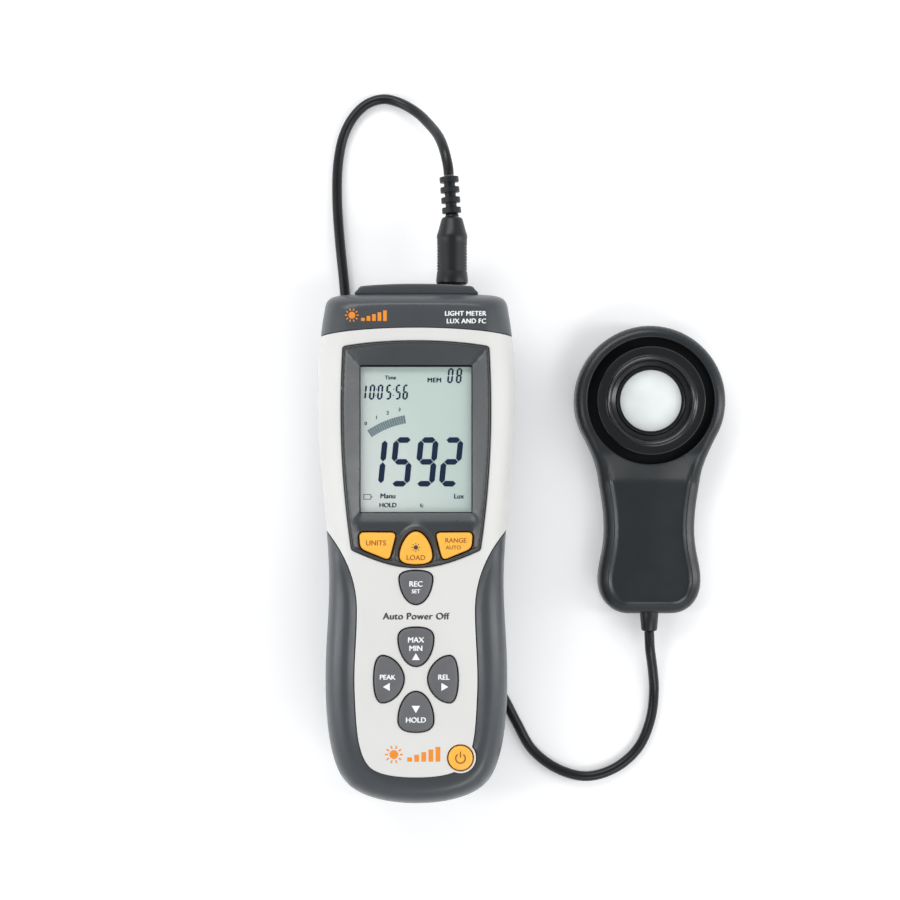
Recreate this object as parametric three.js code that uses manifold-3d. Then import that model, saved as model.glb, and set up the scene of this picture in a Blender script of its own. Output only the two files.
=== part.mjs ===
// A handheld logging light meter with its light sensor on a lead.
// Millimetres, +Z up. Both housings lie on their backs on the surface z = 0 with their faces up,
// +Y is towards the meter's connector end, and the origin is the middle of the floor they take up.
import * as THREE from "three";
import { mergeVertices } from "three/addons/utils/BufferGeometryUtils.js";
import Module from "manifold-3d";

const wasm = await Module();
wasm.setup();

// ---- driving dimensions ----
const GAP = 0.3; // between pieces that touch
const METER_HALF_WIDTH = 38.3;
const METER_HALF_LENGTH = 100.4;
const SENSOR_RADIUS = 29.8;
const HOUSINGS_APART = 92.4; // meter's middle line to the middle of the sensor's dome
const SENSOR_Y = 55.7;
const METER_X = -(HOUSINGS_APART + SENSOR_RADIUS - METER_HALF_WIDTH) / 2;
const SENSOR_X = METER_X + HOUSINGS_APART;

// meter case
const FRONT_Z = 47; // face of the front cover
const PART_Z = 24; // where the front pieces meet the back cover
const BACK_Z = 0.4; // underside of the back cover, held up by its feet
const WALL = 2.4;
const PLATE_Z = FRONT_Z - WALL; // inside of the front cover's face
const ARCH_Z = 10; // height of the hollow under the grip
const ARCH = { head: 14, heel: -72 };
const END_Y = 96.9; // the case's end, behind the connector cap
const SLOT = { x: 21.6, low: 18.1, high: 35.9 }; // where the connector cap's neck enters the case

// The case's side seen from its end: how far it has drawn in at each height.
const CASE_SIDE = [
  [BACK_Z, 17], [13.5, 3.6], [18.5, 1], [PART_Z, 0], [34, 0.3], [40, 1.8],
  [43.4, 4], [45.8, 7.2], [FRONT_Z, 11.5],
];
const END_DRAW = 0.5; // the ends draw in by this much of what the sides do
const OUTLINE_STEPS = 4; // straight pieces in each curve of the case's outline

// display
const WINDOW = { x: 21.5, low: 12.2, high: 68.7 };
const BEZEL_TOP_Z = FRONT_Z + 0.8;
const BEZEL_LOW_Z = 42.6;
const FUNNEL_FOOT_Z = 45.3;
const FUNNEL_SLOPE = 3.4;
const LENS = { margin: 1.2, low: 43.1, high: 44.3 };
const LCD_PANEL = { x: 22.5, low: 8, high: 72, z: 39.9, thick: 2.4 };

// boards
const BOARD_Z = 33.5;
const BOARD_THICK = 1.6;
const BOARD_TOP = BOARD_Z + BOARD_THICK;
const BOARD_INSET = 7;
const MAT = { x: 16.8, low: -77, high: 6.5, thick: 1.1, postTop: 38.7, postRadius: 2.4 };

// keys
const KEY_FOOT_Z = 40.3;
const KEY_FLANGE = 0.8;
const KEY_FLANGE_THICK = 1.4;
const KEY_CLEARANCE = 0.35;
const KEY_TOP_Z = FRONT_Z + 1.3;
const KEY_STEPS = 4; // straight pieces in each curve of a key's outline
const POWER_KEY = { x: 17, y: -81.2, r: 4.65, rim: 5.9 };

// connector end
const CAP = { low: 17, high: 37, inner: 97.3, foot: 23.8, corner: 22.3, cornerY: 99.2, neckBack: 91.4 };
const JACK = { x: 13.8, z: 27, r: 5.8, bore: 4.6, back: 90.3, front: 99.4 };
const USB = { x: -9, z: 24.5, w: 7.7, h: 4.2, wall: 0.5, front: 97.9 };
const FLAP = { w: 14, low: 19.4, high: 29, thick: 1.4, y: 99.5 };
const PORT_BOARD = { x: 20.5, back: 88.4, front: 90, low: 18.8, high: 35.2 };
const PROCESSOR = { x: 6, low: 34, high: 46, thick: 1.6 };
const BUZZER = { x: 21, y: 2, r: 6, low: 27 };

// back
const STAND = { x: 17, hinge: 77, foot: 32, barrel: 2, z: 2.9, thick: 2.4, low: 1.1, pin: 0.9 };
const STAND_POCKET_Z = 5.3;
const TRIPOD = { y: 21, r: 5, hole: 3.2, depth: 9 };
const FEET = [[14, 84.3], [-14, 84.3], [13, -79], [-13, -79]];
const FOOT = { r: 3.6, top: 1.9 };
const BATTERY = { x: 13.25, low: -61.5, high: -15, post: -12.2, z: 12.8, thick: 17, terminal: 6.35 };
const SNAP = { x: 12.5, end: BATTERY.post + 1.6, halfThick: 5.5 };
const DOOR = { x: 15.6, low: -62, high: -4, thick: 2 };
const DOORWAY_X = 14.3; // the opening behind the battery door
const BATTERY_RIB = { x: 15.1, halfThick: 0.7, end: -11, top: 20 };
const DOOR_SCREW_Y = -8.2;
const CASE_SCREWS = [[32, 60], [-32, 60], [20, -66], [-20, -66]];
const POST_R = 3;
const BACK_POST_R = 4.3;
const SCREW_SEAT_Z = 16;
const SCREW = { head: 2.2, headThick: 2, shank: 1.25, length: 14 };

// sensor
const SENSOR_TOP = 17;
const SENSOR_PART_Z = 8;
const SENSOR_ROUND = 3;
const SENSOR_WALL = 2;
const WELL = { r: 25.1, z: 13, floor: 2 };
const COLLAR = { r: 21.5, spigot: 16.7, bore: 12.5, foot: 10.3, top: 19.4 };
const DOME = { r: 12.1, foot: 10.6, edge: 15.6, top: 20.6 };
const SENSOR_END_Y = -84.5;
const SENSOR_SCREWS = [[13, -71], [-13, -71]];
const RELIEF = { root: -81, end: -91.6, rootRadius: 3.7, endRadius: 3.2, flange: 4.8 };
const SENSOR_BOARD = { half: 15, low: 4.3, high: 5.9 };
const PHOTODIODE = { half: 5, low: 6.2, high: 8.5 };
const FILTER = { r: 8, low: 8.8 };

// lead
const CORD_D = 4;
const PLUG = { start: 100.8, bodyEnd: 118.9, taperEnd: 126.9, r: 6.25, neck: 3.9, contact: 4.2 };
const RIBS = { count: 4, pitch: 4, r: 3.9, core: 2.75, lean: 4.5 };

// ---- materials ----
function material(color, roughness, metalness = 0) {
  return new THREE.MeshStandardMaterial({ color, roughness, metalness });
}
const LIGHT_GREY = material(0xe3e2e0, 0.5);
const DARK_GREY = material(0x4c5054, 0.62);
const BOOT_GREY = material(0x585c60, 0.68);
const BEZEL_GREY = material(0x55595c, 0.45);
const YELLOW = material(0xf9b549, 0.5);
const KEY_GREY = material(0x66666a, 0.6);
const CLEAR = material(0xdfe6e2, 0.05);
const LCD_GREY = material(0xc6d6cd, 0.25);
const WHITE = material(0xf4f4f2, 0.5);
const BOARD_GREEN = material(0x1f5a38, 0.5);
const CHIP = material(0x1c1c1e, 0.5);
const STEEL = material(0xb9bcc0, 0.3, 1);
const BRASS = material(0xc49a4b, 0.35, 1);
const BLACK = material(0x17181a, 0.55);
const RED = material(0xa81f1c, 0.55);
const SENSOR_BLACK = material(0x2c3033, 0.5);
const DOME_WHITE = material(0xf2f4f3, 0.45);
const FILTER_GREEN = material(0x7fa69a, 0.15);
const RUBBER = material(0x2a2b2d, 0.75);

// ---- solids ----
function solid(geometry) {
  const bare = geometry.index ? geometry.toNonIndexed() : geometry.clone();
  bare.deleteAttribute("normal");
  bare.deleteAttribute("uv");
  const merged = mergeVertices(bare, 1e-4);
  return new wasm.Manifold(new wasm.Mesh({
    numProp: 3,
    vertProperties: new Float32Array(merged.attributes.position.array),
    triVerts: new Uint32Array(merged.index.array),
  }));
}

function geometryOf(manifold) {
  const mesh = manifold.getMesh();
  return new THREE.BufferGeometry()
    .setAttribute("position", new THREE.BufferAttribute(mesh.vertProperties, 3))
    .setIndex(new THREE.BufferAttribute(mesh.triVerts, 1));
}

function cut(base, ...tools) {
  return geometryOf(tools.reduce((made, tool) => made.subtract(solid(tool)), solid(base)));
}

function join(base, ...more) {
  return geometryOf(more.reduce((made, piece) => made.add(solid(piece)), solid(base)));
}

function common(a, b) {
  return geometryOf(solid(a).intersect(solid(b)));
}

// ---- simple shapes ----
function box(x0, x1, y0, y1, z0, z1) {
  return new THREE.BoxGeometry(x1 - x0, y1 - y0, z1 - z0)
    .translate((x0 + x1) / 2, (y0 + y1) / 2, (z0 + z1) / 2);
}

function post(x, y, r, z0, z1, sides = 12) {
  return new THREE.CylinderGeometry(r, r, z1 - z0, sides)
    .rotateX(Math.PI / 2)
    .translate(x, y, (z0 + z1) / 2);
}

function rodAlongX(r, x0, x1, y, z, sides = 12) {
  return new THREE.CylinderGeometry(r, r, x1 - x0, sides)
    .rotateZ(Math.PI / 2)
    .translate((x0 + x1) / 2, y, z);
}

function rodAlongY(r, y0, y1, x, z, sides = 20) {
  return new THREE.CylinderGeometry(r, r, y1 - y0, sides).translate(x, (y0 + y1) / 2, z);
}

function prism(points, z0, z1) {
  return new THREE.ExtrudeGeometry(new THREE.Shape(points), {
    depth: z1 - z0,
    bevelEnabled: false,
  }).translate(0, 0, z0);
}

// An extruded outline with both its ends rounded inside the outline.
function roundedPrism(points, z0, z1, round, steps) {
  return new THREE.ExtrudeGeometry(new THREE.Shape(points), {
    depth: z1 - z0 - 2 * round,
    bevelThickness: round,
    bevelSize: round,
    bevelOffset: -round,
    bevelSegments: steps,
  }).translate(0, 0, z0 + round);
}

// A side profile of (y, z) points, extruded across the width.
function acrossX(profile, x0, x1) {
  const turn = new THREE.Matrix4().makeBasis(
    new THREE.Vector3(0, 1, 0),
    new THREE.Vector3(0, 0, 1),
    new THREE.Vector3(1, 0, 0),
  );
  return prism(profile.map((p) => new THREE.Vector2(...p)), x0, x1).applyMatrix4(turn);
}

// A piece turned about the Z axis, from (radius, z) points.
function turned(profile, sides = 36) {
  const points = profile.map((p) => new THREE.Vector2(...p));
  return new THREE.LatheGeometry(points, sides).rotateX(Math.PI / 2);
}

// A piece turned about the Y axis, from (radius, y) points.
function turnedAlongY(profile, sides = 16) {
  return new THREE.LatheGeometry(profile.map((p) => new THREE.Vector2(...p)), sides);
}

// An outline raised through the case's side profile, drawn in by `inset` more than its outside.
function caseSolid(points, profile, inset) {
  const steps = profile.length - 1;
  const body = new THREE.ExtrudeGeometry(new THREE.Shape(points), {
    depth: steps,
    steps,
    bevelEnabled: false,
  });
  const at = body.attributes.position;
  for (let i = 0; i < at.count; i += 1) {
    const [z, drawnIn] = profile[Math.round(at.getZ(i))];
    at.setXYZ(
      i,
      at.getX(i) * (1 - (drawnIn + inset) / METER_HALF_WIDTH),
      at.getY(i) * (1 - (drawnIn * END_DRAW + inset) / METER_HALF_LENGTH),
      z,
    );
  }
  return body;
}

// ---- outlines ----
// The closed outline whose right half, from top to bottom, is the path.
function mirrored(path, divisions) {
  const right = path.getPoints(divisions);
  const left = right.slice(1, -1).map((p) => new THREE.Vector2(-p.x, p.y)).reverse();
  return [...right, ...left];
}

function flipped(points) {
  return points.map((p) => new THREE.Vector2(-p.x, p.y));
}

function grown(points, by) {
  const outward = THREE.ShapeUtils.area(points) > 0 ? 1 : -1;
  return points.map((p, i) => {
    const before = points[(i + points.length - 1) % points.length];
    const after = points[(i + 1) % points.length];
    const a = new THREE.Vector2().subVectors(p, before).normalize();
    const b = new THREE.Vector2().subVectors(after, p).normalize();
    const along = a.clone().add(b).normalize();
    const reach = (outward * by) / Math.max(along.dot(b), 0.5);
    return new THREE.Vector2(p.x + along.y * reach, p.y - along.x * reach);
  });
}

function meterOutline() {
  const half = new THREE.Path().moveTo(0, END_Y);
  half.bezierCurveTo(12, END_Y, 20, 96.6, 27.8, 96.1);
  half.bezierCurveTo(33.5, 95.7, 34.8, 94.3, 35.3, 91.4);
  half.bezierCurveTo(37, 83, METER_HALF_WIDTH, 70, METER_HALF_WIDTH, 58);
  half.bezierCurveTo(METER_HALF_WIDTH, 32, 33.8, 6, 33.8, -14);
  half.bezierCurveTo(33.8, -28, 35.2, -38, 35.2, -52);
  half.bezierCurveTo(35.2, -67, 33.9, -81.5, 29, -90);
  half.bezierCurveTo(24.6, -97.4, 12.2, -METER_HALF_LENGTH, 0, -METER_HALF_LENGTH);
  return mirrored(half, OUTLINE_STEPS);
}

// The light front cover: its upper edge meets the top band and its lower edge the boot.
const BEYOND = 60; // outside the case's outline
const BAND_EDGE = { middle: 82.9, x: 35, side: 80.3, beyond: 75.6 };

function lightOutline() {
  const half = new THREE.Path().moveTo(0, BAND_EDGE.middle);
  half.quadraticCurveTo(20, BAND_EDGE.middle, BAND_EDGE.x, BAND_EDGE.side);
  half.lineTo(BEYOND, BAND_EDGE.beyond);
  half.lineTo(BEYOND, 31);
  half.lineTo(36, 6.6);
  half.bezierCurveTo(31, 1.8, 22.5, -9, 22.5, -25);
  half.bezierCurveTo(22.5, -36, 23.9, -46, 23.3, -57.5);
  half.bezierCurveTo(22.8, -68, 22.6, -79.5, 17.8, -84.6);
  half.bezierCurveTo(14.5, -87.9, 7, -88.7, 0, -88.7);
  return mirrored(half, OUTLINE_STEPS);
}

function bandOutline() {
  const half = new THREE.Path().moveTo(0, 130);
  half.lineTo(BEYOND, 130);
  half.lineTo(BEYOND, BAND_EDGE.beyond + GAP);
  half.lineTo(BAND_EDGE.x, BAND_EDGE.side + GAP);
  half.quadraticCurveTo(20, BAND_EDGE.middle + GAP, 0, BAND_EDGE.middle + GAP);
  return mirrored(half, OUTLINE_STEPS);
}

function bezelOutline() {
  const half = new THREE.Path().moveTo(0, 77.6);
  half.bezierCurveTo(9, 77.6, 19, 77, 27.6, 75.4);
  half.bezierCurveTo(28.9, 52, 28.6, 28, 24.35, -1.7);
  half.bezierCurveTo(16.5, -5.2, 9, -8.4, 0, -8.4);
  return mirrored(half, OUTLINE_STEPS);
}

function sensorOutline() {
  const shoulder = -0.43;
  const half = new THREE.Path().absarc(0, 0, SENSOR_RADIUS, Math.PI / 2, shoulder, true);
  half.bezierCurveTo(24.6, -17, 21.3, -23.5, 20.3, -29.5);
  half.bezierCurveTo(19.2, -37, 17.8, -43, 17.8, -51);
  half.bezierCurveTo(17.8, -60, 20.3, -64.5, 20.3, -71);
  half.bezierCurveTo(20.3, -80, 14.5, SENSOR_END_Y, 8.5, SENSOR_END_Y);
  half.lineTo(0, SENSOR_END_Y);
  return mirrored(half, OUTLINE_STEPS);
}

// ---- keys, drawn about the meter's middle line ----
function roundedCorners(corners, round, steps) {
  const at = corners.map((corner) => new THREE.Vector2(...corner));
  return at.flatMap((corner, i) => {
    const before = at[(i + at.length - 1) % at.length];
    const after = at[(i + 1) % at.length];
    const start = before.clone().sub(corner).setLength(round).add(corner);
    const end = after.clone().sub(corner).setLength(round).add(corner);
    return new THREE.QuadraticBezierCurve(start, corner, end).getPoints(steps);
  });
}

function unitsKey() {
  return roundedCorners([[-21.7, 4.8], [-7.5, 4.7], [-10.2, -5.9], [-21.2, -1.4]], 2, 3);
}

function backlightKey() {
  const half = new THREE.Path().moveTo(0, 5.1);
  half.bezierCurveTo(3.4, 5.1, 6.2, -0.6, 6.2, -4.2);
  half.bezierCurveTo(6.2, -6.8, 3.6, -7.4, 0, -7.4);
  return mirrored(half, KEY_STEPS);
}

function recordKey() {
  const half = new THREE.Path().moveTo(0, -9.9);
  half.bezierCurveTo(3.8, -9.9, 6.2, -10.8, 6.2, -12.6);
  half.bezierCurveTo(6.2, -17.2, 3.6, -22.5, 0, -22.5);
  return mirrored(half, KEY_STEPS);
}

function upKey() {
  const half = new THREE.Path().moveTo(0, -31.6);
  half.bezierCurveTo(4.4, -31.6, 6.6, -32.8, 6.6, -35.6);
  half.bezierCurveTo(6.6, -40.8, 3.8, -46.1, 0, -46.1);
  return mirrored(half, KEY_STEPS);
}

function downKey() {
  const half = new THREE.Path().moveTo(0, -56.1);
  half.bezierCurveTo(3.8, -56.1, 6.6, -61.6, 6.6, -66.8);
  half.bezierCurveTo(6.6, -69.9, 4.4, -71.2, 0, -71.2);
  return mirrored(half, KEY_STEPS);
}

function leftKey() {
  const path = new THREE.Path().moveTo(-12.9, -42.4);
  path.bezierCurveTo(-8.6, -42.4, -4.7, -47.2, -4.7, -51.2);
  path.bezierCurveTo(-4.7, -55.2, -8.6, -60, -12.9, -60);
  path.bezierCurveTo(-15.2, -60, -15.9, -55, -15.9, -51.2);
  path.bezierCurveTo(-15.9, -47.4, -15.2, -42.4, -12.9, -42.4);
  return path.getPoints(KEY_STEPS).slice(0, -1);
}

function powerKey() {
  const { x, y, r } = POWER_KEY;
  return new THREE.Path().absarc(x, y, r, 0, 2 * Math.PI).getPoints(12).slice(0, -1);
}

const KEYS = [
  { name: "units_button", outline: unitsKey(), inBezel: true, yellow: true, middle: [-15.6, 0.4] },
  { name: "backlight_button", outline: backlightKey(), inBezel: true, yellow: true, middle: [0, -2.5] },
  { name: "range_button", outline: flipped(unitsKey()), inBezel: true, yellow: true, middle: [15.6, 0.4] },
  { name: "record_button", outline: recordKey(), middle: [0, -15] },
  { name: "max_min_button", outline: upKey(), middle: [0, -38] },
  { name: "peak_button", outline: leftKey(), middle: [-11, -51.2] },
  { name: "relative_button", outline: flipped(leftKey()), middle: [11, -51.2] },
  { name: "hold_button", outline: downKey(), middle: [0, -65] },
  { name: "power_button", outline: powerKey(), yellow: true, middle: [POWER_KEY.x, POWER_KEY.y] },
];

// A key keeps itself in with a flange under the plate that it comes up through.
function keyPiece({ outline, inBezel }) {
  const flangeTop = (inBezel ? BEZEL_LOW_Z : PLATE_Z) - GAP;
  return join(
    prism(outline, KEY_FOOT_Z, KEY_TOP_Z),
    prism(grown(outline, KEY_FLANGE), flangeTop - KEY_FLANGE_THICK, flangeTop),
  );
}

function keyHoles(keys, z0, z1) {
  return keys.map((key) => prism(grown(key.outline, KEY_CLEARANCE), z0, z1));
}

// ---- meter case ----
function neckSlot() {
  return box(-SLOT.x, SLOT.x, 85, 115, SLOT.low, SLOT.high);
}

function frontBlock() {
  return caseSolid(meterOutline(), CASE_SIDE.filter(([z]) => z >= PART_Z), 0);
}

function frontShell() {
  const hollow = [[PART_Z - 1, 0], [34, 0.3], [40, 1.8], [43, 4.4], [PLATE_Z, 6.6]];
  return cut(frontBlock(), caseSolid(meterOutline(), hollow, WALL), neckSlot());
}

function powerRim(r) {
  return post(POWER_KEY.x, POWER_KEY.y, r, PART_Z - 1, FRONT_Z + 1, 28);
}

function frontCover(shell) {
  const light = join(prism(lightOutline(), PART_Z - 1, FRONT_Z + 1), powerRim(POWER_KEY.rim));
  const posts = CASE_SCREWS.map(([x, y]) => common(
    post(x, y, POST_R, PART_Z + GAP, PLATE_Z + 1), frontBlock()));
  const threads = CASE_SCREWS.map(([x, y]) => post(x, y, SCREW.shank + 0.2, PART_Z - 1, 34, 10));
  return cut(
    common(join(shell, ...posts), light),
    prism(grown(bezelOutline(), GAP), PLATE_Z - 1, FRONT_Z + 1),
    ...keyHoles(KEYS.filter((key) => !key.inBezel), PLATE_Z - 1, FRONT_Z + 1),
    ...threads,
  );
}

function gripBoot(shell) {
  return cut(
    shell,
    prism(grown(lightOutline(), GAP), PART_Z - 1, FRONT_Z + 1),
    prism(bandOutline(), PART_Z - 1, FRONT_Z + 1),
    powerRim(POWER_KEY.rim + GAP),
  );
}

function topBand(shell) {
  return common(shell, prism(bandOutline(), PART_Z - 1, FRONT_Z + 1));
}

// The tub behind the front pieces, hollowed under the grip, with the stand's pocket in its head.
function archProfile(height, wider) {
  const run = height + wider;
  return [
    [ARCH.head + wider, -5], [ARCH.head + wider, 0], [ARCH.head + wider - run, run],
    [ARCH.heel - wider + run, run], [ARCH.heel - wider, 0], [ARCH.heel - wider, -5],
  ];
}

function batteryRib(side) {
  const { x, halfThick, end, top } = BATTERY_RIB;
  return box(side * x - halfThick, side * x + halfThick, DOOR.low, end, ARCH_Z, top);
}

function backCover() {
  const outside = CASE_SIDE.filter(([z]) => z <= PART_Z);
  const inside = outside.map(([z, drawnIn]) => [z === BACK_Z ? BACK_Z + WALL : z, drawnIn]);
  outside[outside.length - 1] = [PART_Z - GAP, 0];
  inside[inside.length - 1] = [PART_Z + 1, 0];
  const hollow = cut(
    caseSolid(meterOutline(), inside, WALL),
    acrossX(archProfile(ARCH_Z, WALL), -50, 50),
  );
  const block = caseSolid(meterOutline(), outside, 0);
  const tub = cut(block, acrossX(archProfile(ARCH_Z, 0), -50, 50), hollow);
  const added = join(
    box(-21, 21, 29, 84.5, BACK_Z, STAND_POCKET_Z + 2),
    post(0, TRIPOD.y, TRIPOD.r + 2.2, BACK_Z, TRIPOD.depth + 2.4, 24),
    ...FEET.map(([x, y]) => post(x, y, FOOT.r + 2, BACK_Z, FOOT.top + 2.4)),
    ...CASE_SCREWS.map(([x, y]) => post(x, y, BACK_POST_R, BACK_Z, PART_Z - GAP)),
    ...[-1, 1].map(batteryRib),
    post(0, DOOR_SCREW_Y, 4, ARCH_Z, 15.4),
  );
  const lumps = cut(common(added, block), acrossX(archProfile(ARCH_Z, 0), -50, 50));
  return cut(
    join(tub, lumps),
    box(-STAND.x - 0.5, STAND.x + 0.5, STAND.foot - 3, STAND.hinge + STAND.barrel + 0.5, -1, STAND_POCKET_Z),
    rodAlongX(STAND.pin + 0.15, -20, 20, STAND.hinge, STAND.z),
    post(0, TRIPOD.y, TRIPOD.r + GAP, -1, TRIPOD.depth + GAP, 24),
    box(-DOOR.x - GAP, DOOR.x + GAP, DOOR.low - GAP, DOOR.high + GAP, ARCH_Z - 1, ARCH_Z + DOOR.thick + GAP),
    box(-DOORWAY_X, DOORWAY_X, DOOR.low + 1.2, DOOR.high - 9, ARCH_Z - 1, ARCH_Z + 6),
    post(0, DOOR_SCREW_Y, 1.4, ARCH_Z - 1, 15, 12),
    ...FEET.map(([x, y]) => post(x, y, FOOT.r + GAP, -1, FOOT.top + GAP)),
    ...CASE_SCREWS.map(([x, y]) => post(x, y, SCREW.head + 0.4, -5, SCREW_SEAT_Z)),
    ...CASE_SCREWS.map(([x, y]) => post(x, y, SCREW.shank + 0.3, 0, PART_Z + 1, 12)),
    neckSlot(),
  );
}

// ---- connector end ----
function connectorCap() {
  const half = new THREE.Path().moveTo(0, METER_HALF_LENGTH);
  half.quadraticCurveTo(CAP.corner / 2, METER_HALF_LENGTH, CAP.corner, CAP.cornerY);
  half.lineTo(CAP.foot, CAP.inner);
  half.lineTo(0, CAP.inner);
  const rim = prism(mirrored(half, OUTLINE_STEPS), CAP.low, CAP.high);
  const neck = box(
    -SLOT.x + GAP, SLOT.x - GAP, CAP.neckBack, CAP.inner + 1, SLOT.low + GAP, SLOT.high - GAP);
  const seat = box(
    USB.x - FLAP.w / 2 - GAP, USB.x + FLAP.w / 2 + GAP,
    FLAP.y - FLAP.thick / 2 - GAP, 105, FLAP.low - 1.4, FLAP.high + GAP);
  return cut(
    join(rim, neck),
    seat,
    box(USB.x - USB.w / 2 - GAP, USB.x + USB.w / 2 + GAP, 85, 105,
      USB.z - USB.h / 2 - GAP, USB.z + USB.h / 2 + GAP),
    rodAlongY(JACK.r + GAP, 85, 105, JACK.x, JACK.z, 24),
  );
}

function sensorJack() {
  const { x, z, r, bore, back, front } = JACK;
  return cut(rodAlongY(r, back, front, x, z, 24), rodAlongY(bore, back + 1.5, 105, x, z, 24));
}

function usbSocket() {
  const { x, z, w, h, wall, front } = USB;
  return cut(
    box(x - w / 2, x + w / 2, JACK.back, front, z - h / 2, z + h / 2),
    box(x - w / 2 + wall, x + w / 2 - wall, 92, 105, z - h / 2 + wall, z + h / 2 - wall),
  );
}

// The dust flap turns about its round lower edge.
function usbFlap() {
  const { w, low, high, thick, y } = FLAP;
  const axisZ = low + thick / 2;
  return join(
    box(USB.x - w / 2, USB.x + w / 2, y - thick / 2, y + thick / 2, axisZ, high),
    rodAlongX(thick / 2, USB.x - w / 2, USB.x + w / 2, y, axisZ, 16),
  );
}

// ---- display ----
function bezelPiece() {
  const { x, low, high } = WINDOW;
  const corners = [[-x, low], [x, low], [x, high], [-x, high]].map((p) => new THREE.Vector2(...p));
  const funnel = new THREE.ExtrudeGeometry(new THREE.Shape(corners), {
    depth: 3,
    bevelThickness: BEZEL_TOP_Z - FUNNEL_FOOT_Z,
    bevelSize: FUNNEL_SLOPE,
    bevelSegments: 1,
  }).translate(0, 0, BEZEL_TOP_Z);
  const lensSeat = LENS.margin + GAP;
  return cut(
    prism(bezelOutline(), BEZEL_LOW_Z, BEZEL_TOP_Z),
    funnel,
    box(-x, x, low, high, BEZEL_LOW_Z - 1, BEZEL_TOP_Z),
    box(-x - lensSeat, x + lensSeat, low - lensSeat, high + lensSeat, BEZEL_LOW_Z - 1, LENS.high + GAP),
    ...keyHoles(KEYS.filter((key) => key.inBezel), BEZEL_LOW_Z - 1, BEZEL_TOP_Z + 1),
  );
}

function displayLens() {
  const { x, low, high } = WINDOW;
  const { margin } = LENS;
  return box(-x - margin, x + margin, low - margin, high + margin, LENS.low, LENS.high);
}

function zebraStrip(y) {
  return box(-20.5, 20.5, y - 1, y + 1, BOARD_TOP + GAP, LCD_PANEL.z - GAP);
}

// ---- inside the meter ----
function mainBoard() {
  const sheet = caseSolid(meterOutline(), [[BOARD_Z, BOARD_INSET], [BOARD_TOP, BOARD_INSET]], 0);
  const posts = CASE_SCREWS.map(([x, y]) => post(x, y, POST_R + GAP, BOARD_Z - 1, BOARD_TOP + 1));
  return cut(sheet, box(-60, 60, 86, 110, 30, 40), ...posts);
}

function portBoard() {
  const { x, back, front, low, high } = PORT_BOARD;
  return box(-x, x, back, front, low, high);
}

function processorChip() {
  const { x, low, high, thick } = PROCESSOR;
  return box(-x, x, low, high, BOARD_Z - GAP - thick, BOARD_Z - GAP);
}

function keypadMat() {
  const low = BOARD_TOP + GAP;
  const high = low + MAT.thick;
  return join(
    box(-MAT.x, MAT.x, MAT.low, MAT.high, low, high),
    post(POWER_KEY.x, POWER_KEY.y, 5.4, low, high),
    ...KEYS.map(({ middle: [x, y] }) => post(x, y, MAT.postRadius, low, MAT.postTop, 12)),
  );
}

function battery() {
  const { x, low, high, post: end, z, thick, terminal } = BATTERY;
  const middle = z + thick / 2;
  return join(
    box(-x, x, low, high, z, z + thick),
    ...[-1, 1].map((side) => rodAlongY(3, high - 1, end, side * terminal, middle, 12)),
  );
}

function batterySnap() {
  const { x, end, halfThick } = SNAP;
  const { high, post: contact, z, thick, terminal } = BATTERY;
  const middle = z + thick / 2;
  return cut(
    box(-x, x, high + GAP, end, middle - halfThick, middle + halfThick),
    ...[-1, 1].map((side) => rodAlongY(3.3, high - 1, contact + 0.4, side * terminal, middle, 12)),
  );
}

function tube(points, diameter, sides, steps) {
  const curve = new THREE.CatmullRomCurve3(points.map((p) => new THREE.Vector3(...p)), false, "centripetal");
  const ring = new THREE.Path().absarc(0, 0, diameter / 2, 0, 2 * Math.PI).getSpacedPoints(sides);
  return new THREE.ExtrudeGeometry(new THREE.Shape(ring.slice(0, -1)), {
    steps,
    extrudePath: curve,
  });
}

function batteryLead(x) {
  const start = SNAP.end + GAP;
  return tube([
    [x, start, 21.5], [x, start + 3, 22.5], [x * 1.1, start + 8, 27], [x * 1.2, start + 8.5, BOARD_Z - GAP],
  ], 1.4, 6, 8);
}

// ---- back ----
function tiltStand() {
  const { x, hinge, foot, barrel, z, thick, low, pin } = STAND;
  const frame = roundedCorners([[-x, foot], [x, foot], [x, hinge], [-x, hinge]], 4, 3);
  const window = roundedCorners([[-x + 7, foot + 9], [x - 7, foot + 9], [x - 7, 68], [-x + 7, 68]], 3, 3);
  return cut(
    join(
      cut(prism(frame, low, low + thick), prism(window, low - 1, low + 1.2)),
      rodAlongX(barrel, -x, x, hinge, z, 16),
    ),
    rodAlongX(pin + 0.25, -x - 1, x + 1, hinge, z, 12),
  );
}

function tripodNut() {
  const { y, r, hole, depth } = TRIPOD;
  return cut(post(0, y, r, BACK_Z, depth, 6), post(0, y, hole, BACK_Z - 1, depth - 1.5, 20));
}

function batteryDoor() {
  return cut(
    box(-DOOR.x, DOOR.x, DOOR.low, DOOR.high, ARCH_Z, ARCH_Z + DOOR.thick),
    post(0, DOOR_SCREW_Y, 3, ARCH_Z - 1, ARCH_Z + 1.2),
    post(0, DOOR_SCREW_Y, 1.4, ARCH_Z - 1, ARCH_Z + 4, 12),
  );
}

// A screw with its head down, and a cross recess in it.
function screw(x, y, headZ, { head, headThick, shank, length }) {
  const cross = [[head * 0.6, 0.35], [0.35, head * 0.6]]
    .map(([a, b]) => box(x - a, x + a, y - b, y + b, headZ - 1, headZ + headThick * 0.5));
  return cut(
    join(
      post(x, y, head, headZ, headZ + headThick),
      post(x, y, shank, headZ + headThick - 0.1, headZ + headThick + length, 12),
    ),
    ...cross,
  );
}

// ---- sensor, drawn about the middle of its dome ----
function reliefHole() {
  return join(
    rodAlongY(RELIEF.rootRadius + GAP, -90, -80, 0, SENSOR_PART_Z, 20),
    rodAlongY(RELIEF.flange + GAP, -82.1, -78, 0, SENSOR_PART_Z, 20),
  );
}

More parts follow.
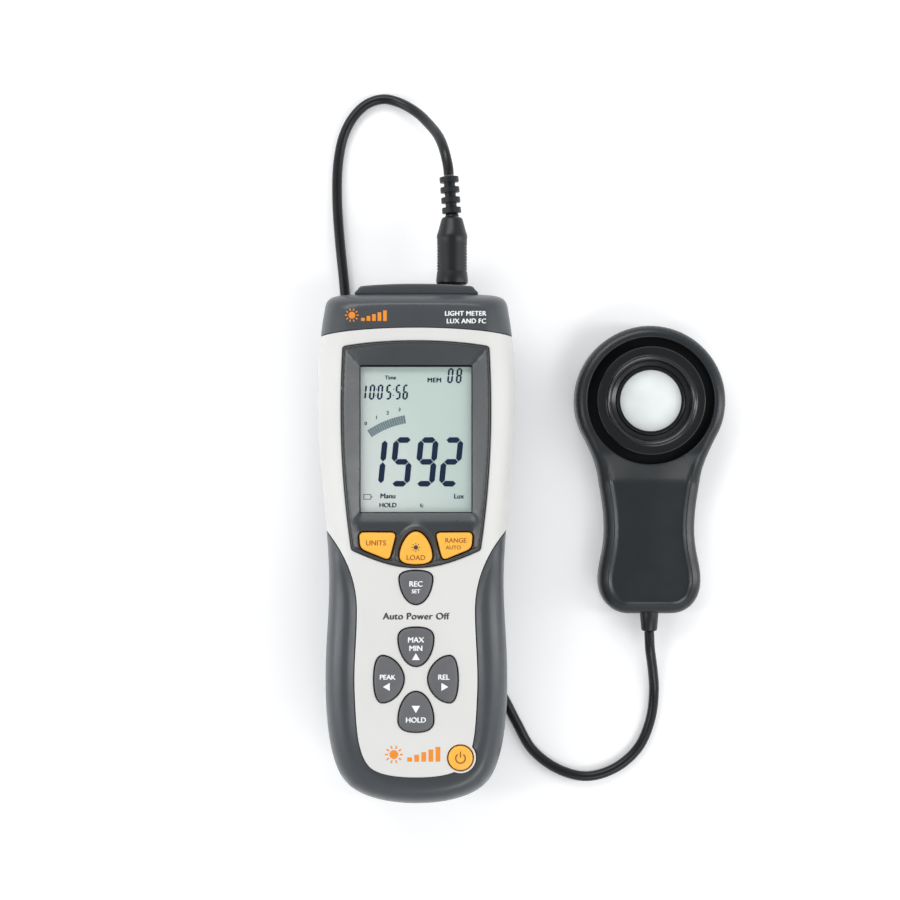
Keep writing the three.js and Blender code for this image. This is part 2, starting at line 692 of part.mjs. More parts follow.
function sensorTopCover() {
  const outer = roundedPrism(sensorOutline(), -10, SENSOR_TOP, SENSOR_ROUND, 2);
  const inner = roundedPrism(grown(sensorOutline(), -SENSOR_WALL), -10, SENSOR_TOP - SENSOR_WALL, 1.4, 1);
  const upper = box(-40, 40, -100, 40, SENSOR_PART_Z + GAP, SENSOR_TOP + 1);
  const shell = cut(common(outer, upper), inner);
  return cut(
    join(
      shell,
      common(post(0, 0, WELL.r + 2, WELL.z - WELL.floor, SENSOR_TOP, 32), outer),
      ...SENSOR_SCREWS.map(([x, y]) => post(x, y, 2.6, SENSOR_PART_Z + GAP, SENSOR_TOP - 1)),
    ),
    post(0, 0, WELL.r, WELL.z, SENSOR_TOP + 1, 32),
    post(0, 0, COLLAR.spigot + GAP, 0, SENSOR_TOP, 24),
    ...SENSOR_SCREWS.map(([x, y]) => post(x, y, 1.2, 0, 13.5, 10)),
    reliefHole(),
  );
}

function sensorBottomCover() {
  const outer = roundedPrism(sensorOutline(), 0, 30, 2.2, 2);
  const inner = prism(grown(sensorOutline(), -SENSOR_WALL - 0.4), SENSOR_WALL, 30);
  const lower = box(-40, 40, -100, 40, -1, SENSOR_PART_Z);
  const posts = SENSOR_SCREWS.map(([x, y]) => post(x, y, 3.8, 0.5, SENSOR_PART_Z));
  return cut(
    join(cut(common(outer, lower), inner), ...posts),
    ...SENSOR_SCREWS.map(([x, y]) => post(x, y, 2.7, -1, 3.6)),
    ...SENSOR_SCREWS.map(([x, y]) => post(x, y, 1.35, -1, 12, 12)),
    reliefHole(),
  );
}

function sensorCollar() {
  const { r, spigot, bore, foot, top } = COLLAR;
  return turned([
    [bore, foot], [spigot, foot], [spigot, WELL.z + GAP], [r, WELL.z + GAP], [r, top - 0.8],
    [r - 0.8, top], [18.3, top], [17.6, top - 0.8], [17.3, top - 2], [14, top - 3.2],
    [13.4, top - 3.8], [bore, top - 3.8], [bore, foot],
  ], 32);
}

function diffuserDome() {
  const { r, foot, edge, top } = DOME;
  const rise = top - edge;
  const ball = (r * r + rise * rise) / (2 * rise);
  const reach = Math.asin(r / ball);
  const steps = 5;
  const crown = Array.from({ length: steps + 1 }, (_, i) => {
    const angle = reach * (1 - i / steps);
    return [i === steps ? 0 : ball * Math.sin(angle), top - ball + ball * Math.cos(angle)];
  });
  return turned([[0, foot], [r, foot], ...crown], 24);
}

function squareChip({ half, low, high }) {
  return box(-half, half, -half, half, low, high);
}

function sensorRelief() {
  const { root, end, rootRadius, endRadius, flange } = RELIEF;
  return turnedAlongY([
    [0, end], [endRadius, end], [rootRadius, SENSOR_END_Y - GAP], [rootRadius, root - 0.8],
    [flange, root - 0.8], [flange, root + 1], [0, root + 1],
  ]).translate(0, 0, SENSOR_PART_Z);
}

// ---- plug and lead, drawn about the meter's middle line ----
function plugBody() {
  const { start, bodyEnd, taperEnd, r, neck } = PLUG;
  return turnedAlongY([
    [0, start], [r - 0.3, start], [r, start + 1], [r - 0.2, bodyEnd], [neck + 0.6, taperEnd - 2],
    [neck, taperEnd], [0, taperEnd],
  ]).translate(JACK.x, 0, JACK.z);
}

function plugContact() {
  const { start, contact } = PLUG;
  return cut(
    rodAlongY(contact, JACK.back + 2.4, start - GAP, JACK.x, JACK.z, 20),
    rodAlongY(contact - 0.7, JACK.back, start - 2, JACK.x, JACK.z, 20),
  );
}

const RIBS_START = PLUG.taperEnd + GAP;
const RIBS_LENGTH = RIBS.count * RIBS.pitch;
const RIBS_LEAN = THREE.MathUtils.degToRad(RIBS.lean);

// A point on the relief's line, this far from where its ribs start.
function behindPlug(reach) {
  return [JACK.x - Math.sin(RIBS_LEAN) * reach, RIBS_START + Math.cos(RIBS_LEAN) * reach, JACK.z];
}

// The ribbed bend relief behind the plug, leaning a little towards the lead.
function plugRelief() {
  const { count, pitch, r, core } = RIBS;
  const bands = Array.from({ length: count }, (_, i) => {
    const y = i * pitch;
    return [[core, y + 0.5], [r, y + 0.8], [r - 0.1, y + 2.9], [core, y + 3.2]];
  }).flat();
  return turnedAlongY([[0, 0], [core, 0], ...bands, [core, RIBS_LENGTH], [0, RIBS_LENGTH]], 12)
    .rotateZ(RIBS_LEAN)
    .translate(JACK.x, RIBS_START, JACK.z);
}

// The lead's middle line, from the plug's relief to the sensor's, lying on the floor between them.
const FLOOR = CORD_D / 2 + 0.02;
const SENSOR_EXIT = [HOUSINGS_APART, SENSOR_Y + RELIEF.end - GAP, SENSOR_PART_Z];
const CORD_ROUTE = [
  behindPlug(RIBS_LENGTH + GAP),
  behindPlug(RIBS_LENGTH + 3),
  [11, 152.5, 25.4],
  [8.8, 159, 20.2],
  [5, 165, 13],
  [-0.6, 171.2, 6.4],
  [-7.2, 175.4, 2.9],
  [-13.4, 177, FLOOR],
  [-19.6, 175.4, FLOOR],
  [-25, 170.8, FLOOR],
  [-29.4, 163, FLOOR],
  [-31.8, 152, FLOOR],
  [-32.3, 137.4, FLOOR],
  [-31.2, 120, FLOOR],
  [-29.4, 102, FLOOR],
  [-28.2, 85, FLOOR],
  [-27.9, 60, FLOOR],
  [-27.9, 30, FLOOR],
  [-27.8, 8, FLOOR],
  [-25.6, -8, FLOOR],
  [-18.5, -21, FLOOR],
  [-6, -32.5, FLOOR],
  [9, -42.5, FLOOR],
  [23, -51.5, FLOOR],
  [33, -61, FLOOR],
  [39.4, -72.6, FLOOR],
  [46, -84, FLOOR],
  [56, -91.6, FLOOR],
  [67.6, -94.7, FLOOR],
  [79, -91.5, FLOOR],
  [88.4, -83.4, FLOOR],
  [93.4, -72, FLOOR],
  [94.8, -60.2, 2.6],
  [94, -51, 4.8],
  [92.8, -43, 7.3],
  SENSOR_EXIT,
];

function sensorCord() {
  return tube(CORD_ROUTE, CORD_D, 10, 60);
}

// ---- the assembly ----
function mesh(name, geometry, look) {
  const piece = new THREE.Mesh(geometry, look.clone());
  piece.name = name;
  return piece;
}

function meterParts() {
  const shell = frontShell();
  const doorScrew = { head: 2.6, headThick: 1, shank: 1.1, length: 3.6 };
  return [
    mesh("front_cover", frontCover(shell), LIGHT_GREY),
    mesh("top_band", topBand(shell), BOOT_GREY),
    mesh("grip_boot", gripBoot(shell), BOOT_GREY),
    mesh("back_cover", backCover(), DARK_GREY),
    mesh("connector_cap", connectorCap(), DARK_GREY),
    mesh("display_bezel", bezelPiece(), BEZEL_GREY),
    mesh("display_lens", displayLens(), CLEAR),
    mesh("lcd_panel", box(
      -LCD_PANEL.x, LCD_PANEL.x, LCD_PANEL.low, LCD_PANEL.high,
      LCD_PANEL.z, LCD_PANEL.z + LCD_PANEL.thick), LCD_GREY),
    mesh("backlight_panel", box(-22, 22, 12, 68, BOARD_TOP + 1.5, LCD_PANEL.z - GAP), WHITE),
    mesh("contact_strip_upper", zebraStrip(70), BLACK),
    mesh("contact_strip_lower", zebraStrip(10), BLACK),
    mesh("main_board", mainBoard(), BOARD_GREEN),
    mesh("connector_board", portBoard(), BOARD_GREEN),
    mesh("processor_chip", processorChip(), CHIP),
    mesh("keypad_mat", keypadMat(), RUBBER),
    ...KEYS.map((key) => mesh(key.name, keyPiece(key), key.yellow ? YELLOW : KEY_GREY)),
    mesh("sensor_jack", sensorJack(), BLACK),
    mesh("usb_socket", usbSocket(), STEEL),
    mesh("usb_port_cover", usbFlap(), RUBBER),
    mesh("buzzer", post(BUZZER.x, BUZZER.y, BUZZER.r, BUZZER.low, BOARD_Z - GAP, 20), BLACK),
    mesh("tripod_nut", tripodNut(), BRASS),
    mesh("battery_door", batteryDoor(), DARK_GREY),
    mesh("battery_door_screw", screw(0, DOOR_SCREW_Y, ARCH_Z + 0.1, doorScrew), STEEL),
    mesh("battery_9v", battery(), BLACK),
    mesh("battery_snap", batterySnap(), BLACK),
    mesh("battery_lead_red", batteryLead(5), RED),
    mesh("battery_lead_black", batteryLead(-5), BLACK),
    mesh("tilt_stand", tiltStand(), DARK_GREY),
    mesh("stand_pin", rodAlongX(STAND.pin, -19.6, 19.6, STAND.hinge, STAND.z), STEEL),
    ...FEET.map(([x, y], i) => mesh(`rubber_foot_${i + 1}`, post(x, y, FOOT.r, 0, FOOT.top, 20), RUBBER)),
    ...CASE_SCREWS.map(([x, y], i) => mesh(
      `case_screw_${i + 1}`, screw(x, y, SCREW_SEAT_Z - SCREW.headThick - GAP, SCREW), STEEL)),
    mesh("plug_contact", plugContact(), STEEL),
    mesh("plug_body", plugBody(), BLACK),
    mesh("plug_relief", plugRelief(), BLACK),
    mesh("sensor_cord", sensorCord(), RUBBER),
  ];
}

function sensorParts() {
  const sensorScrew = { head: 2.3, headThick: 1.6, shank: 0.9, length: 9 };
  return [
    mesh("sensor_top_cover", sensorTopCover(), SENSOR_BLACK),
    mesh("sensor_bottom_cover", sensorBottomCover(), SENSOR_BLACK),
    mesh("sensor_collar", sensorCollar(), SENSOR_BLACK),
    mesh("diffuser_dome", diffuserDome(), DOME_WHITE),
    mesh("light_filter", post(0, 0, FILTER.r, FILTER.low, DOME.foot - GAP, 28), FILTER_GREEN),
    mesh("photodiode", squareChip(PHOTODIODE), CHIP),
    mesh("sensor_board", squareChip(SENSOR_BOARD), BOARD_GREEN),
    ...SENSOR_SCREWS.map(([x, y], i) => mesh(`sensor_screw_${i + 1}`, screw(x, y, 1.7, sensorScrew), STEEL)),
    mesh("sensor_strain_relief", sensorRelief(), RUBBER),
  ];
}

const meter = new THREE.Group();
meter.position.set(METER_X, 0, 0);
meter.add(...meterParts());

const sensor = new THREE.Group();
sensor.position.set(SENSOR_X, SENSOR_Y, 0);
sensor.add(...sensorParts());

const lightMeter = new THREE.Group();
lightMeter.add(meter, sensor);

export default lightMeter;
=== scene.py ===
"""The looks of a handheld logging light meter and its sensor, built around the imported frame.

The studio is in metres. Everything else is in millimetres in the row's frame, or about a housing's own
middle, until mesh_object() turns it into metres.
"""
import math

import bmesh
import bpy
import numpy as np
from mathutils import Matrix, Vector
from mathutils.geometry import delaunay_2d_cdt


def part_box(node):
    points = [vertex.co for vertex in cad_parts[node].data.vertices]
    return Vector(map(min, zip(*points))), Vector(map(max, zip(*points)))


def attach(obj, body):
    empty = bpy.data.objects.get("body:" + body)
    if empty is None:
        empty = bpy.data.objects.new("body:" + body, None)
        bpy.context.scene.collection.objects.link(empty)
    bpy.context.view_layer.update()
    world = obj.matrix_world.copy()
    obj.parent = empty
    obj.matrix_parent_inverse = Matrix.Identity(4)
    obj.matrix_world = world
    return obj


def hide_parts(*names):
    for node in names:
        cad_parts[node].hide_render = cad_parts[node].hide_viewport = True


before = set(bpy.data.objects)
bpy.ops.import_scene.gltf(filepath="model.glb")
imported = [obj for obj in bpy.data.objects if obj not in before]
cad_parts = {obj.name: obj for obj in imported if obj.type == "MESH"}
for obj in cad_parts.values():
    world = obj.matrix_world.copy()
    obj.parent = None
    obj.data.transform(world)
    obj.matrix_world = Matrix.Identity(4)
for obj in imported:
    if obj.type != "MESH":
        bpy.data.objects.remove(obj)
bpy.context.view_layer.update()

MM = 0.001


def box_mm(node):
    """A CAD node's lowest and highest corners, in millimetres."""
    low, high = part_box(node)
    return low / MM, high / MM


def middle_mm(node):
    low, high = box_mm(node)
    return (low + high) / 2


# ---- places taken from the frame ----
front_low, front_high = box_mm("front_cover")
METER_X = (front_low.x + front_high.x) / 2
HALF_WIDTH = (front_high.x - front_low.x) / 2
FRONT_Z = front_high.z
PART_Z = box_mm("grip_boot")[0].z
METER_END = -box_mm("grip_boot")[0].y
BAND_END = box_mm("top_band")[1].y
dome_middle = middle_mm("diffuser_dome")
SENSOR_X, SENSOR_Y = dome_middle.x, dome_middle.y
JACK = middle_mm("sensor_jack")
KEY_TOP = box_mm("record_button")[1].z
BEZEL_TOP = box_mm("display_bezel")[1].z
LCD_TOP = box_mm("lcd_panel")[1].z
METER, SENSOR_AT = (METER_X, 0), (SENSOR_X, SENSOR_Y)


# ---- camera, light and floor ----
def in_scene(name, data):
    made = bpy.data.objects.new(name, data)
    bpy.context.scene.collection.objects.link(made)
    return made


def look_down_camera():
    """Straight down over the object, as the photograph is taken."""
    data = bpy.data.cameras.new("camera")
    data.sensor_width = 36
    data.lens = 89.5
    data.clip_end = 20
    camera = in_scene("camera", data)
    camera.location = (-0.02895, 0.0362, 0.9)
    bpy.context.scene.camera = camera


def area_light(name, place, aim, size, power):
    data = bpy.data.lights.new(name, "AREA")
    data.shape = "RECTANGLE"
    data.size, data.size_y = size
    data.energy = power
    lamp = in_scene(name, data)
    lamp.location = place
    lamp.rotation_euler = (Vector(aim) - Vector(place)).to_track_quat("-Z", "Y").to_euler()


def sky():
    """Bright towards the horizon and dim overhead, so that sloping faces shine more than flat ones."""
    world = bpy.data.worlds.new("studio")
    world.use_nodes = True
    nodes, links = world.node_tree.nodes, world.node_tree.links
    parts = nodes.new("ShaderNodeSeparateXYZ")
    links.new(nodes.new("ShaderNodeTexCoord").outputs["Generated"], parts.inputs["Vector"])
    shade = colour_ramp(nodes, (0.74, 0.76, 0.78), (0.27, 0.28, 0.29), (0.45, 0.93))
    links.new(parts.outputs["Z"], shade.inputs["Fac"])
    links.new(shade.outputs["Color"], nodes["Background"].inputs["Color"])
    nodes["Background"].inputs["Strength"].default_value = 1
    bpy.context.scene.world = world


def studio():
    bpy.context.scene.view_settings.view_transform = "Standard"
    sky()
    area_light("key_light", (-0.3, 0.8, 0.75), (0, 0, 0), (0.9, 0.35), 4.6)
    area_light("right_strip", (0.75, 0, 0.5), (0.02, 0, 0), (0.16, 0.9), 2.7)
    area_light("left_strip", (-0.75, -0.05, 0.5), (-0.02, 0, 0), (0.16, 0.9), 2.4)
    area_light("front_fill", (0.35, -0.6, 0.8), (0.05, 0, 0), (0.6, 0.25), 2.4)
    mesh = bpy.data.meshes.new("floor")
    reach, depth = 3, -0.1 * MM
    corners = [(-reach, -reach), (reach, -reach), (reach, reach), (-reach, reach)]
    mesh.from_pydata([(x, y, depth) for x, y in corners], [], [(0, 1, 2, 3)])
    mesh.materials.append(pale_floor())
    in_scene("floor", mesh)


# ---- materials ----
def colour_ramp(nodes, low, high, at):
    node = nodes.new("ShaderNodeValToRGB")
    for element, colour, place in zip(node.color_ramp.elements, (low, high), at):
        element.position = place
        element.color = (*colour, 1)
    return node


class Surface:
    """A new material: a Principled shader with textures laid in the object's own coordinates."""

    def __init__(self, name):
        self.material = bpy.data.materials.new(name)
        self.material.use_nodes = True
        self.nodes, self.links = self.material.node_tree.nodes, self.material.node_tree.links
        self.shader = self.nodes["Principled BSDF"]
        self.coords = self.nodes.new("ShaderNodeTexCoord").outputs

    def texture(self, kind, vector, **values):
        """A texture or converter node fed by a vector, its sockets set by name."""
        node = self.nodes.new("ShaderNode" + kind)
        for socket, value in values.items():
            node.inputs[socket.replace("_", " ")].default_value = value
        self.links.new(vector, node.inputs["Vector"])
        return node

    def noise(self, scale, detail=4):
        return self.texture("TexNoise", self.coords["Object"], Scale=scale, Detail=detail).outputs["Fac"]

    def tone(self, source, low, high, at=(0.3, 0.7)):
        """The base colour, between two colours."""
        node = colour_ramp(self.nodes, low, high, at)
        self.links.new(source, node.inputs["Fac"])
        self.links.new(node.outputs["Color"], self.shader.inputs["Base Color"])

    def gloss(self, source, low, high):
        """The roughness, between two values."""
        node = self.nodes.new("ShaderNodeMapRange")
        node.inputs["To Min"].default_value = low
        node.inputs["To Max"].default_value = high
        self.links.new(source, node.inputs["Value"])
        self.links.new(node.outputs["Result"], self.shader.inputs["Roughness"])

    def grain(self, source, depth):
        bump = self.nodes.new("ShaderNodeBump")
        bump.inputs["Strength"].default_value = depth
        bump.inputs["Distance"].default_value = GRAIN_HEIGHT
        self.links.new(source, bump.inputs["Height"])
        self.links.new(bump.outputs["Normal"], self.shader.inputs["Normal"])

    def settings(self, values):
        """The sockets that are the same all over, and the finished material."""
        for socket, value in values.items():
            self.shader.inputs[socket].default_value = value
        return self.material


GRAIN_HEIGHT = 0.00006  # metres


def shaded(colour, by):
    return tuple(min(1, c * by) for c in colour)


def moulded(name, colour, rough, grain=2600, depth=0.25, mottle=0.05, coat=0.0, sheen=0.0, shine=0.5):
    """Moulded plastic or rubber: a faint mottle, worn gloss patches and a fine spark-eroded grain."""
    made = Surface(name)
    made.tone(made.noise(55), shaded(colour, 1 - mottle), shaded(colour, 1 + mottle))
    made.gloss(made.noise(160, 6), rough - 0.07, rough + 0.07)
    made.grain(made.noise(grain, 3), depth)
    return made.settings({"Metallic": 0, "Specular IOR Level": shine, "Coat Weight": coat,
                          "Coat Roughness": 0.12, "Sheen Weight": sheen})


def metal(name, colour, rough):
    """Machined or plated metal with fine drawn lines."""
    made = Surface(name)
    drawn = made.texture("Mapping", made.coords["Object"], Scale=(1, 1, 12)).outputs["Vector"]
    lines = made.texture("TexNoise", drawn, Scale=900).outputs["Fac"]
    made.tone(lines, shaded(colour, 0.86), shaded(colour, 1.1))
    made.gloss(lines, rough - 0.08, rough + 0.12)
    return made.settings({"Metallic": 1})


def clear_window():
    """A thin polished window: mostly open, with its own gloss and a few faint scuffs."""
    made = Surface("clear_window")
    made.gloss(made.noise(240, 8), 0.02, 0.09)
    return made.settings({"Base Color": (0.03, 0.04, 0.04, 1), "Alpha": 0.08})


def lcd_glass():
    """The display's grey-green reflector with a fine grain, and painted light that makes it paler towards its
    lower left.
    """
    made = Surface("lcd_glass")
    # Painted light: the reflector's colour runs from paler at its lower left to darker at its upper right.
    across = made.nodes.new("ShaderNodeVectorMath")
    across.operation = "DOT_PRODUCT"
    across.inputs[1].default_value = (0.75, 0.55, 0)
    made.links.new(made.coords["Generated"], across.inputs[0])
    made.tone(across.outputs["Value"], (0.86, 0.90, 0.875), (0.665, 0.79, 0.735), at=(0.05, 0.75))
    made.gloss(made.noise(4200, 2), 0.28, 0.42)
    return made.material


def opal():
    """The white diffuser dome: opal plastic that light sinks into."""
    made = Surface("opal_dome")
    made.tone(made.noise(90), (0.72, 0.755, 0.745), (0.78, 0.805, 0.80))
    made.gloss(made.noise(1500), 0.34, 0.46)
    return made.settings({"Subsurface Weight": 0.35, "Subsurface Radius": (1, 1, 1),
                          "Subsurface Scale": 0.0015})


def circuit_board():
    """Solder mask over copper tracks, drawn by a brick pattern."""
    made = Surface("circuit_board")
    tracks = made.texture("TexBrick", made.coords["Object"], Scale=160, Color1=(0.015, 0.11, 0.045, 1),
                          Color2=(0.02, 0.14, 0.06, 1), Mortar=(0.05, 0.24, 0.10, 1), Mortar_Size=0.03)
    made.links.new(tracks.outputs["Color"], made.shader.inputs["Base Color"])
    made.gloss(made.noise(300), 0.25, 0.4)
    return made.material


def pale_floor():
    made = Surface("pale_floor")
    made.tone(made.noise(3), (0.945, 0.945, 0.945), (0.96, 0.96, 0.96))
    return made.settings({"Roughness": 0.8, "Emission Color": (1, 1, 1, 1), "Emission Strength": 0.13})


look_down_camera()
studio()

LIGHT_CASE = moulded("light_case", (0.685, 0.677, 0.655), 0.46, mottle=0.015, depth=0.22)
BOOT = moulded("boot_rubber", (0.055, 0.061, 0.067), 0.33, grain=1900, depth=0.35, sheen=0.05)
BACK_CASE = moulded("back_case", (0.07, 0.075, 0.082), 0.52, grain=1500, depth=0.5)
BEZEL = moulded("bezel_plastic", (0.036, 0.040, 0.044), 0.3, grain=3200, depth=0.1, shine=0.66)
YELLOW_KEY = moulded("yellow_key", (0.97, 0.455, 0.055), 0.42, grain=2400, depth=0.15, mottle=0.03)
GREY_KEY = moulded("grey_key", (0.118, 0.118, 0.126), 0.5, grain=1500, depth=0.45, mottle=0.06)
SENSOR_CASE = moulded("sensor_case", (0.0135, 0.0165, 0.019), 0.33, grain=2400, depth=0.2)
COLLAR = moulded("sensor_collar", (0.004, 0.005, 0.006), 0.24, grain=2600, depth=0.1, coat=0.3)
# Painted shade: the groove's floor is darker and less shiny than the sensor case, for the shade down in the
# groove round the collar.
SHADED_WELL_FLOOR = moulded("well_floor_painted_shade", (0.0035, 0.004, 0.0045), 0.5, grain=2600, depth=0.1, shine=0.12)
CORD_RUBBER = moulded("cord_rubber", (0.007, 0.008, 0.0095), 0.3, grain=1400, depth=0.25, shine=0.38)
PLUG_RUBBER = moulded("plug_rubber", (0.009, 0.011, 0.013), 0.36, grain=1700, depth=0.35, shine=0.4)
SOFT_RUBBER = moulded("soft_rubber", (0.03, 0.032, 0.035), 0.62, grain=1200, depth=0.5)
BLACK_PART = moulded("black_part", (0.016, 0.016, 0.018), 0.4, grain=2000, depth=0.3)
WHITE_PART = moulded("white_part", (0.86, 0.87, 0.86), 0.45, grain=1800)
RED_WIRE = moulded("red_wire", (0.42, 0.012, 0.01), 0.4)
DARK_INK = moulded("dark_ink", (0.045, 0.05, 0.058), 0.5, mottle=0.1)
WHITE_INK = moulded("white_ink", (0.85, 0.86, 0.86), 0.5, mottle=0.02)
ORANGE_INK = moulded("orange_ink", (0.80, 0.255, 0.02), 0.45, mottle=0.05)
BROWN_INK = moulded("brown_ink", (0.30, 0.105, 0.02), 0.5, mottle=0.08)
# Ink for the window's printed border, which also carries the painted shadow of the bezel along its upper
# edge.
WINDOW_INK_AND_SHADE = moulded("window_ink_and_shade", (0.006, 0.006, 0.007), 0.45, shine=0.25)
LCD_INK = moulded("lcd_ink", (0.0012, 0.014, 0.055), 0.45, mottle=0.1, shine=0.35)
LCD_FAINT = moulded("lcd_faint", (0.19, 0.26, 0.29), 0.4, mottle=0.08)
STEEL = metal("plated_steel", (0.62, 0.63, 0.65), 0.3)
BRASS = metal("turned_brass", (0.72, 0.53, 0.22), 0.28)
WINDOW_CLEAR = clear_window()
LCD_GLASS = lcd_glass()
OPAL = opal()
BOARD = circuit_board()
FILTER_GLASS = moulded("filter_glass", (0.22, 0.42, 0.36), 0.12, grain=900, depth=0.05)


# ---- outlines, in millimetres about each housing's own middle ----
def path(start, *parts, steps=24):
    """Points along lines and cubic curves. A part is one point, or two handles and an end."""
    points = [np.array(start, float)]
    for part in parts:
        if np.ndim(part) == 1:
            points.append(np.array(part, float))
            continue
        a, (b, c, d) = points[-1], (np.array(p, float) for p in part)
        for t in np.linspace(0, 1, steps + 1)[1:]:
            points.append((1 - t) ** 3 * a + 3 * (1 - t) ** 2 * t * b + 3 * (1 - t) * t * t * c + t ** 3 * d)
    return np.array(points)


def arc(centre, radius, start, end, steps=24):
    angles = np.radians(np.linspace(start, end, steps + 1))
    return np.array(centre) + radius * np.column_stack([np.cos(angles), np.sin(angles)])


def mirrored(right):
    """The closed loop whose right half, from top to bottom, is given."""
    left = right[-2:0:-1] * [-1, 1]
    return np.vstack([right, left])


def even(loop, spacing):
    """The same closed loop with its points evenly spaced."""
    closed = np.vstack([loop, loop[:1]])
    along = np.concatenate([[0], np.cumsum(np.linalg.norm(np.diff(closed, axis=0), axis=1))])
    count = max(8, round(along[-1] / spacing))
    at = np.linspace(0, along[-1], count + 1)[:-1]
    return np.column_stack([np.interp(at, along, closed[:, k]) for k in (0, 1)])


def grown(loop, by):
    """A closed loop moved outwards by a distance, or inwards where it is negative."""
    before, after = np.roll(loop, 1, axis=0), np.roll(loop, -1, axis=0)
    tangent = after - before
    tangent /= np.linalg.norm(tangent, axis=1)[:, None]
    area = np.sum(loop[:, 0] * after[:, 1] - after[:, 0] * loop[:, 1])
    return loop + by * math.copysign(1, area) * np.column_stack([tangent[:, 1], -tangent[:, 0]])


def rounded(corners, radius, steps=6):
    """A closed polygon with its corners rounded."""
    corners = [np.array(c, float) for c in corners]
    points = []
    for i, corner in enumerate(corners):
        before, after = corners[i - 1], corners[(i + 1) % len(corners)]
        a = corner + radius * (before - corner) / np.linalg.norm(before - corner)
        b = corner + radius * (after - corner) / np.linalg.norm(after - corner)
        for t in np.linspace(0, 1, steps + 1):
            points.append((1 - t) ** 2 * a + 2 * (1 - t) * t * corner + t * t * b)
    return np.array(points)


def circle(centre, radius, spacing=0.5, count=0):
    return arc(centre, radius, 0, 360, count or max(16, round(2 * math.pi * radius / spacing)))[:-1]


def box_loop(x0, x1, y0, y1, radius=0.0):
    corners = [(x0, y0), (x1, y0), (x1, y1), (x0, y1)]
    return rounded(corners, radius, 5) if radius else np.array(corners, float)


W, E = HALF_WIDTH, METER_END
CASE = mirrored(path(
    (0, BAND_END), ((12, BAND_END), (20, 96.6), (27.8, 96.1)), ((33.5, 95.7), (34.8, 94.3), (35.3, 91.4)),
    ((37, 83), (W, 70), (W, 58)), ((W, 32), (33.8, 6), (33.8, -14)),
    ((33.8, -28), (35.2, -38), (35.2, -52)), ((35.2, -67), (33.9, -81.5), (29, -90)),
    ((24.6, -97.4), (12.2, -E), (0, -E))))

BEYOND = 60
LIGHT = mirrored(path(
    (0, 82.9), ((13.3, 82.9), (25, 82), (35, 80.3)), (BEYOND, 75.6), (BEYOND, 31), (36, 6.6),
    ((31, 1.8), (22.5, -9), (22.5, -25)), ((22.5, -36), (23.9, -46), (23.3, -57.5)),
    ((22.8, -68), (22.6, -79.5), (17.8, -84.6)), ((14.5, -87.9), (7, -88.7), (0, -88.7))))
SEAM = 0.3
BAND = mirrored(path(
    (0, 130), (BEYOND, 130), (BEYOND, 75.6 + SEAM), (35, 80.3 + SEAM),
    ((25, 82 + SEAM), (13.3, 82.9 + SEAM), (0, 82.9 + SEAM))))
BEZEL_LOOP = mirrored(path(
    (0, 77.6), ((9, 77.6), (19, 77), (27.6, 75.4)), ((28.9, 52), (28.6, 28), (24.35, -1.7)),
    ((16.5, -5.2), (9, -8.4), (0, -8.4))))
WINDOW = np.array([(-21.5, 12.2), (21.5, 12.2), (21.5, 68.7), (-21.5, 68.7)], float)

UNITS = rounded([(-21.7, 4.8), (-7.5, 4.7), (-10.2, -5.9), (-21.2, -1.4)], 2)
BELL = mirrored(path((0, 5.1), ((3.4, 5.1), (6.2, -0.6), (6.2, -4.2)), ((6.2, -6.8), (3.6, -7.4), (0, -7.4))))
RECORD = mirrored(path(
    (0, -9.9), ((3.8, -9.9), (6.2, -10.8), (6.2, -12.6)), ((6.2, -17.2), (3.6, -22.5), (0, -22.5))))
UP = mirrored(path(
    (0, -31.6), ((4.4, -31.6), (6.6, -32.8), (6.6, -35.6)), ((6.6, -40.8), (3.8, -46.1), (0, -46.1))))
DOWN = mirrored(path(
    (0, -56.1), ((3.8, -56.1), (6.6, -61.6), (6.6, -66.8)), ((6.6, -69.9), (4.4, -71.2), (0, -71.2))))
LEFT = path(
    (-12.9, -42.4), ((-8.6, -42.4), (-4.7, -47.2), (-4.7, -51.2)), ((-4.7, -55.2), (-8.6, -60), (-12.9, -60)),
    ((-15.2, -60), (-15.9, -55), (-15.9, -51.2)), ((-15.9, -47.4), (-15.2, -42.4), (-12.9, -42.4)))[:-1]
POWER_AT, POWER_R = (17, -81.2), 4.65
POWER_RIM = 5.9      # the light cover's own edge round the power key
KEYS = {
    "units_button": (UNITS, YELLOW_KEY), "backlight_button": (BELL, YELLOW_KEY),
    "range_button": (UNITS[::-1] * [-1, 1], YELLOW_KEY), "record_button": (RECORD, GREY_KEY),
    "max_min_button": (UP, GREY_KEY), "peak_button": (LEFT, GREY_KEY),
    "relative_button": (LEFT[::-1] * [-1, 1], GREY_KEY), "hold_button": (DOWN, GREY_KEY),
    "power_button": (circle(POWER_AT, POWER_R), YELLOW_KEY),
}
KEY_GAP = 0.45       # round each key

SENSOR_R = 29.8
SENSOR_END = -84.5
SENSOR = mirrored(np.vstack([
    arc((0, 0), SENSOR_R, 90, -24.6, 40),
    path((27.1, -12.4), ((24.6, -17), (21.3, -23.5), (20.3, -29.5)), ((19.2, -37), (17.8, -43), (17.8, -51)),
         ((17.8, -60), (20.3, -64.5), (20.3, -71)), ((20.3, -80), (14.5, SENSOR_END), (8.5, SENSOR_END)),
         (0, SENSOR_END))[1:]]))


# ---- measuring points against loops ----
def in_loop(points, loop):
    """Which points lie inside a closed loop, by the even-odd rule."""
    inside = np.zeros(len(points), bool)
    x, y = points[:, 0], points[:, 1]
    for (x0, y0), (x1, y1) in zip(loop, np.roll(loop, -1, axis=0)):
        if y0 == y1:
            continue
        crosses = ((y0 > y) != (y1 > y)) & (x < (x1 - x0) * (y - y0) / (y1 - y0) + x0)
        inside ^= crosses
    return inside


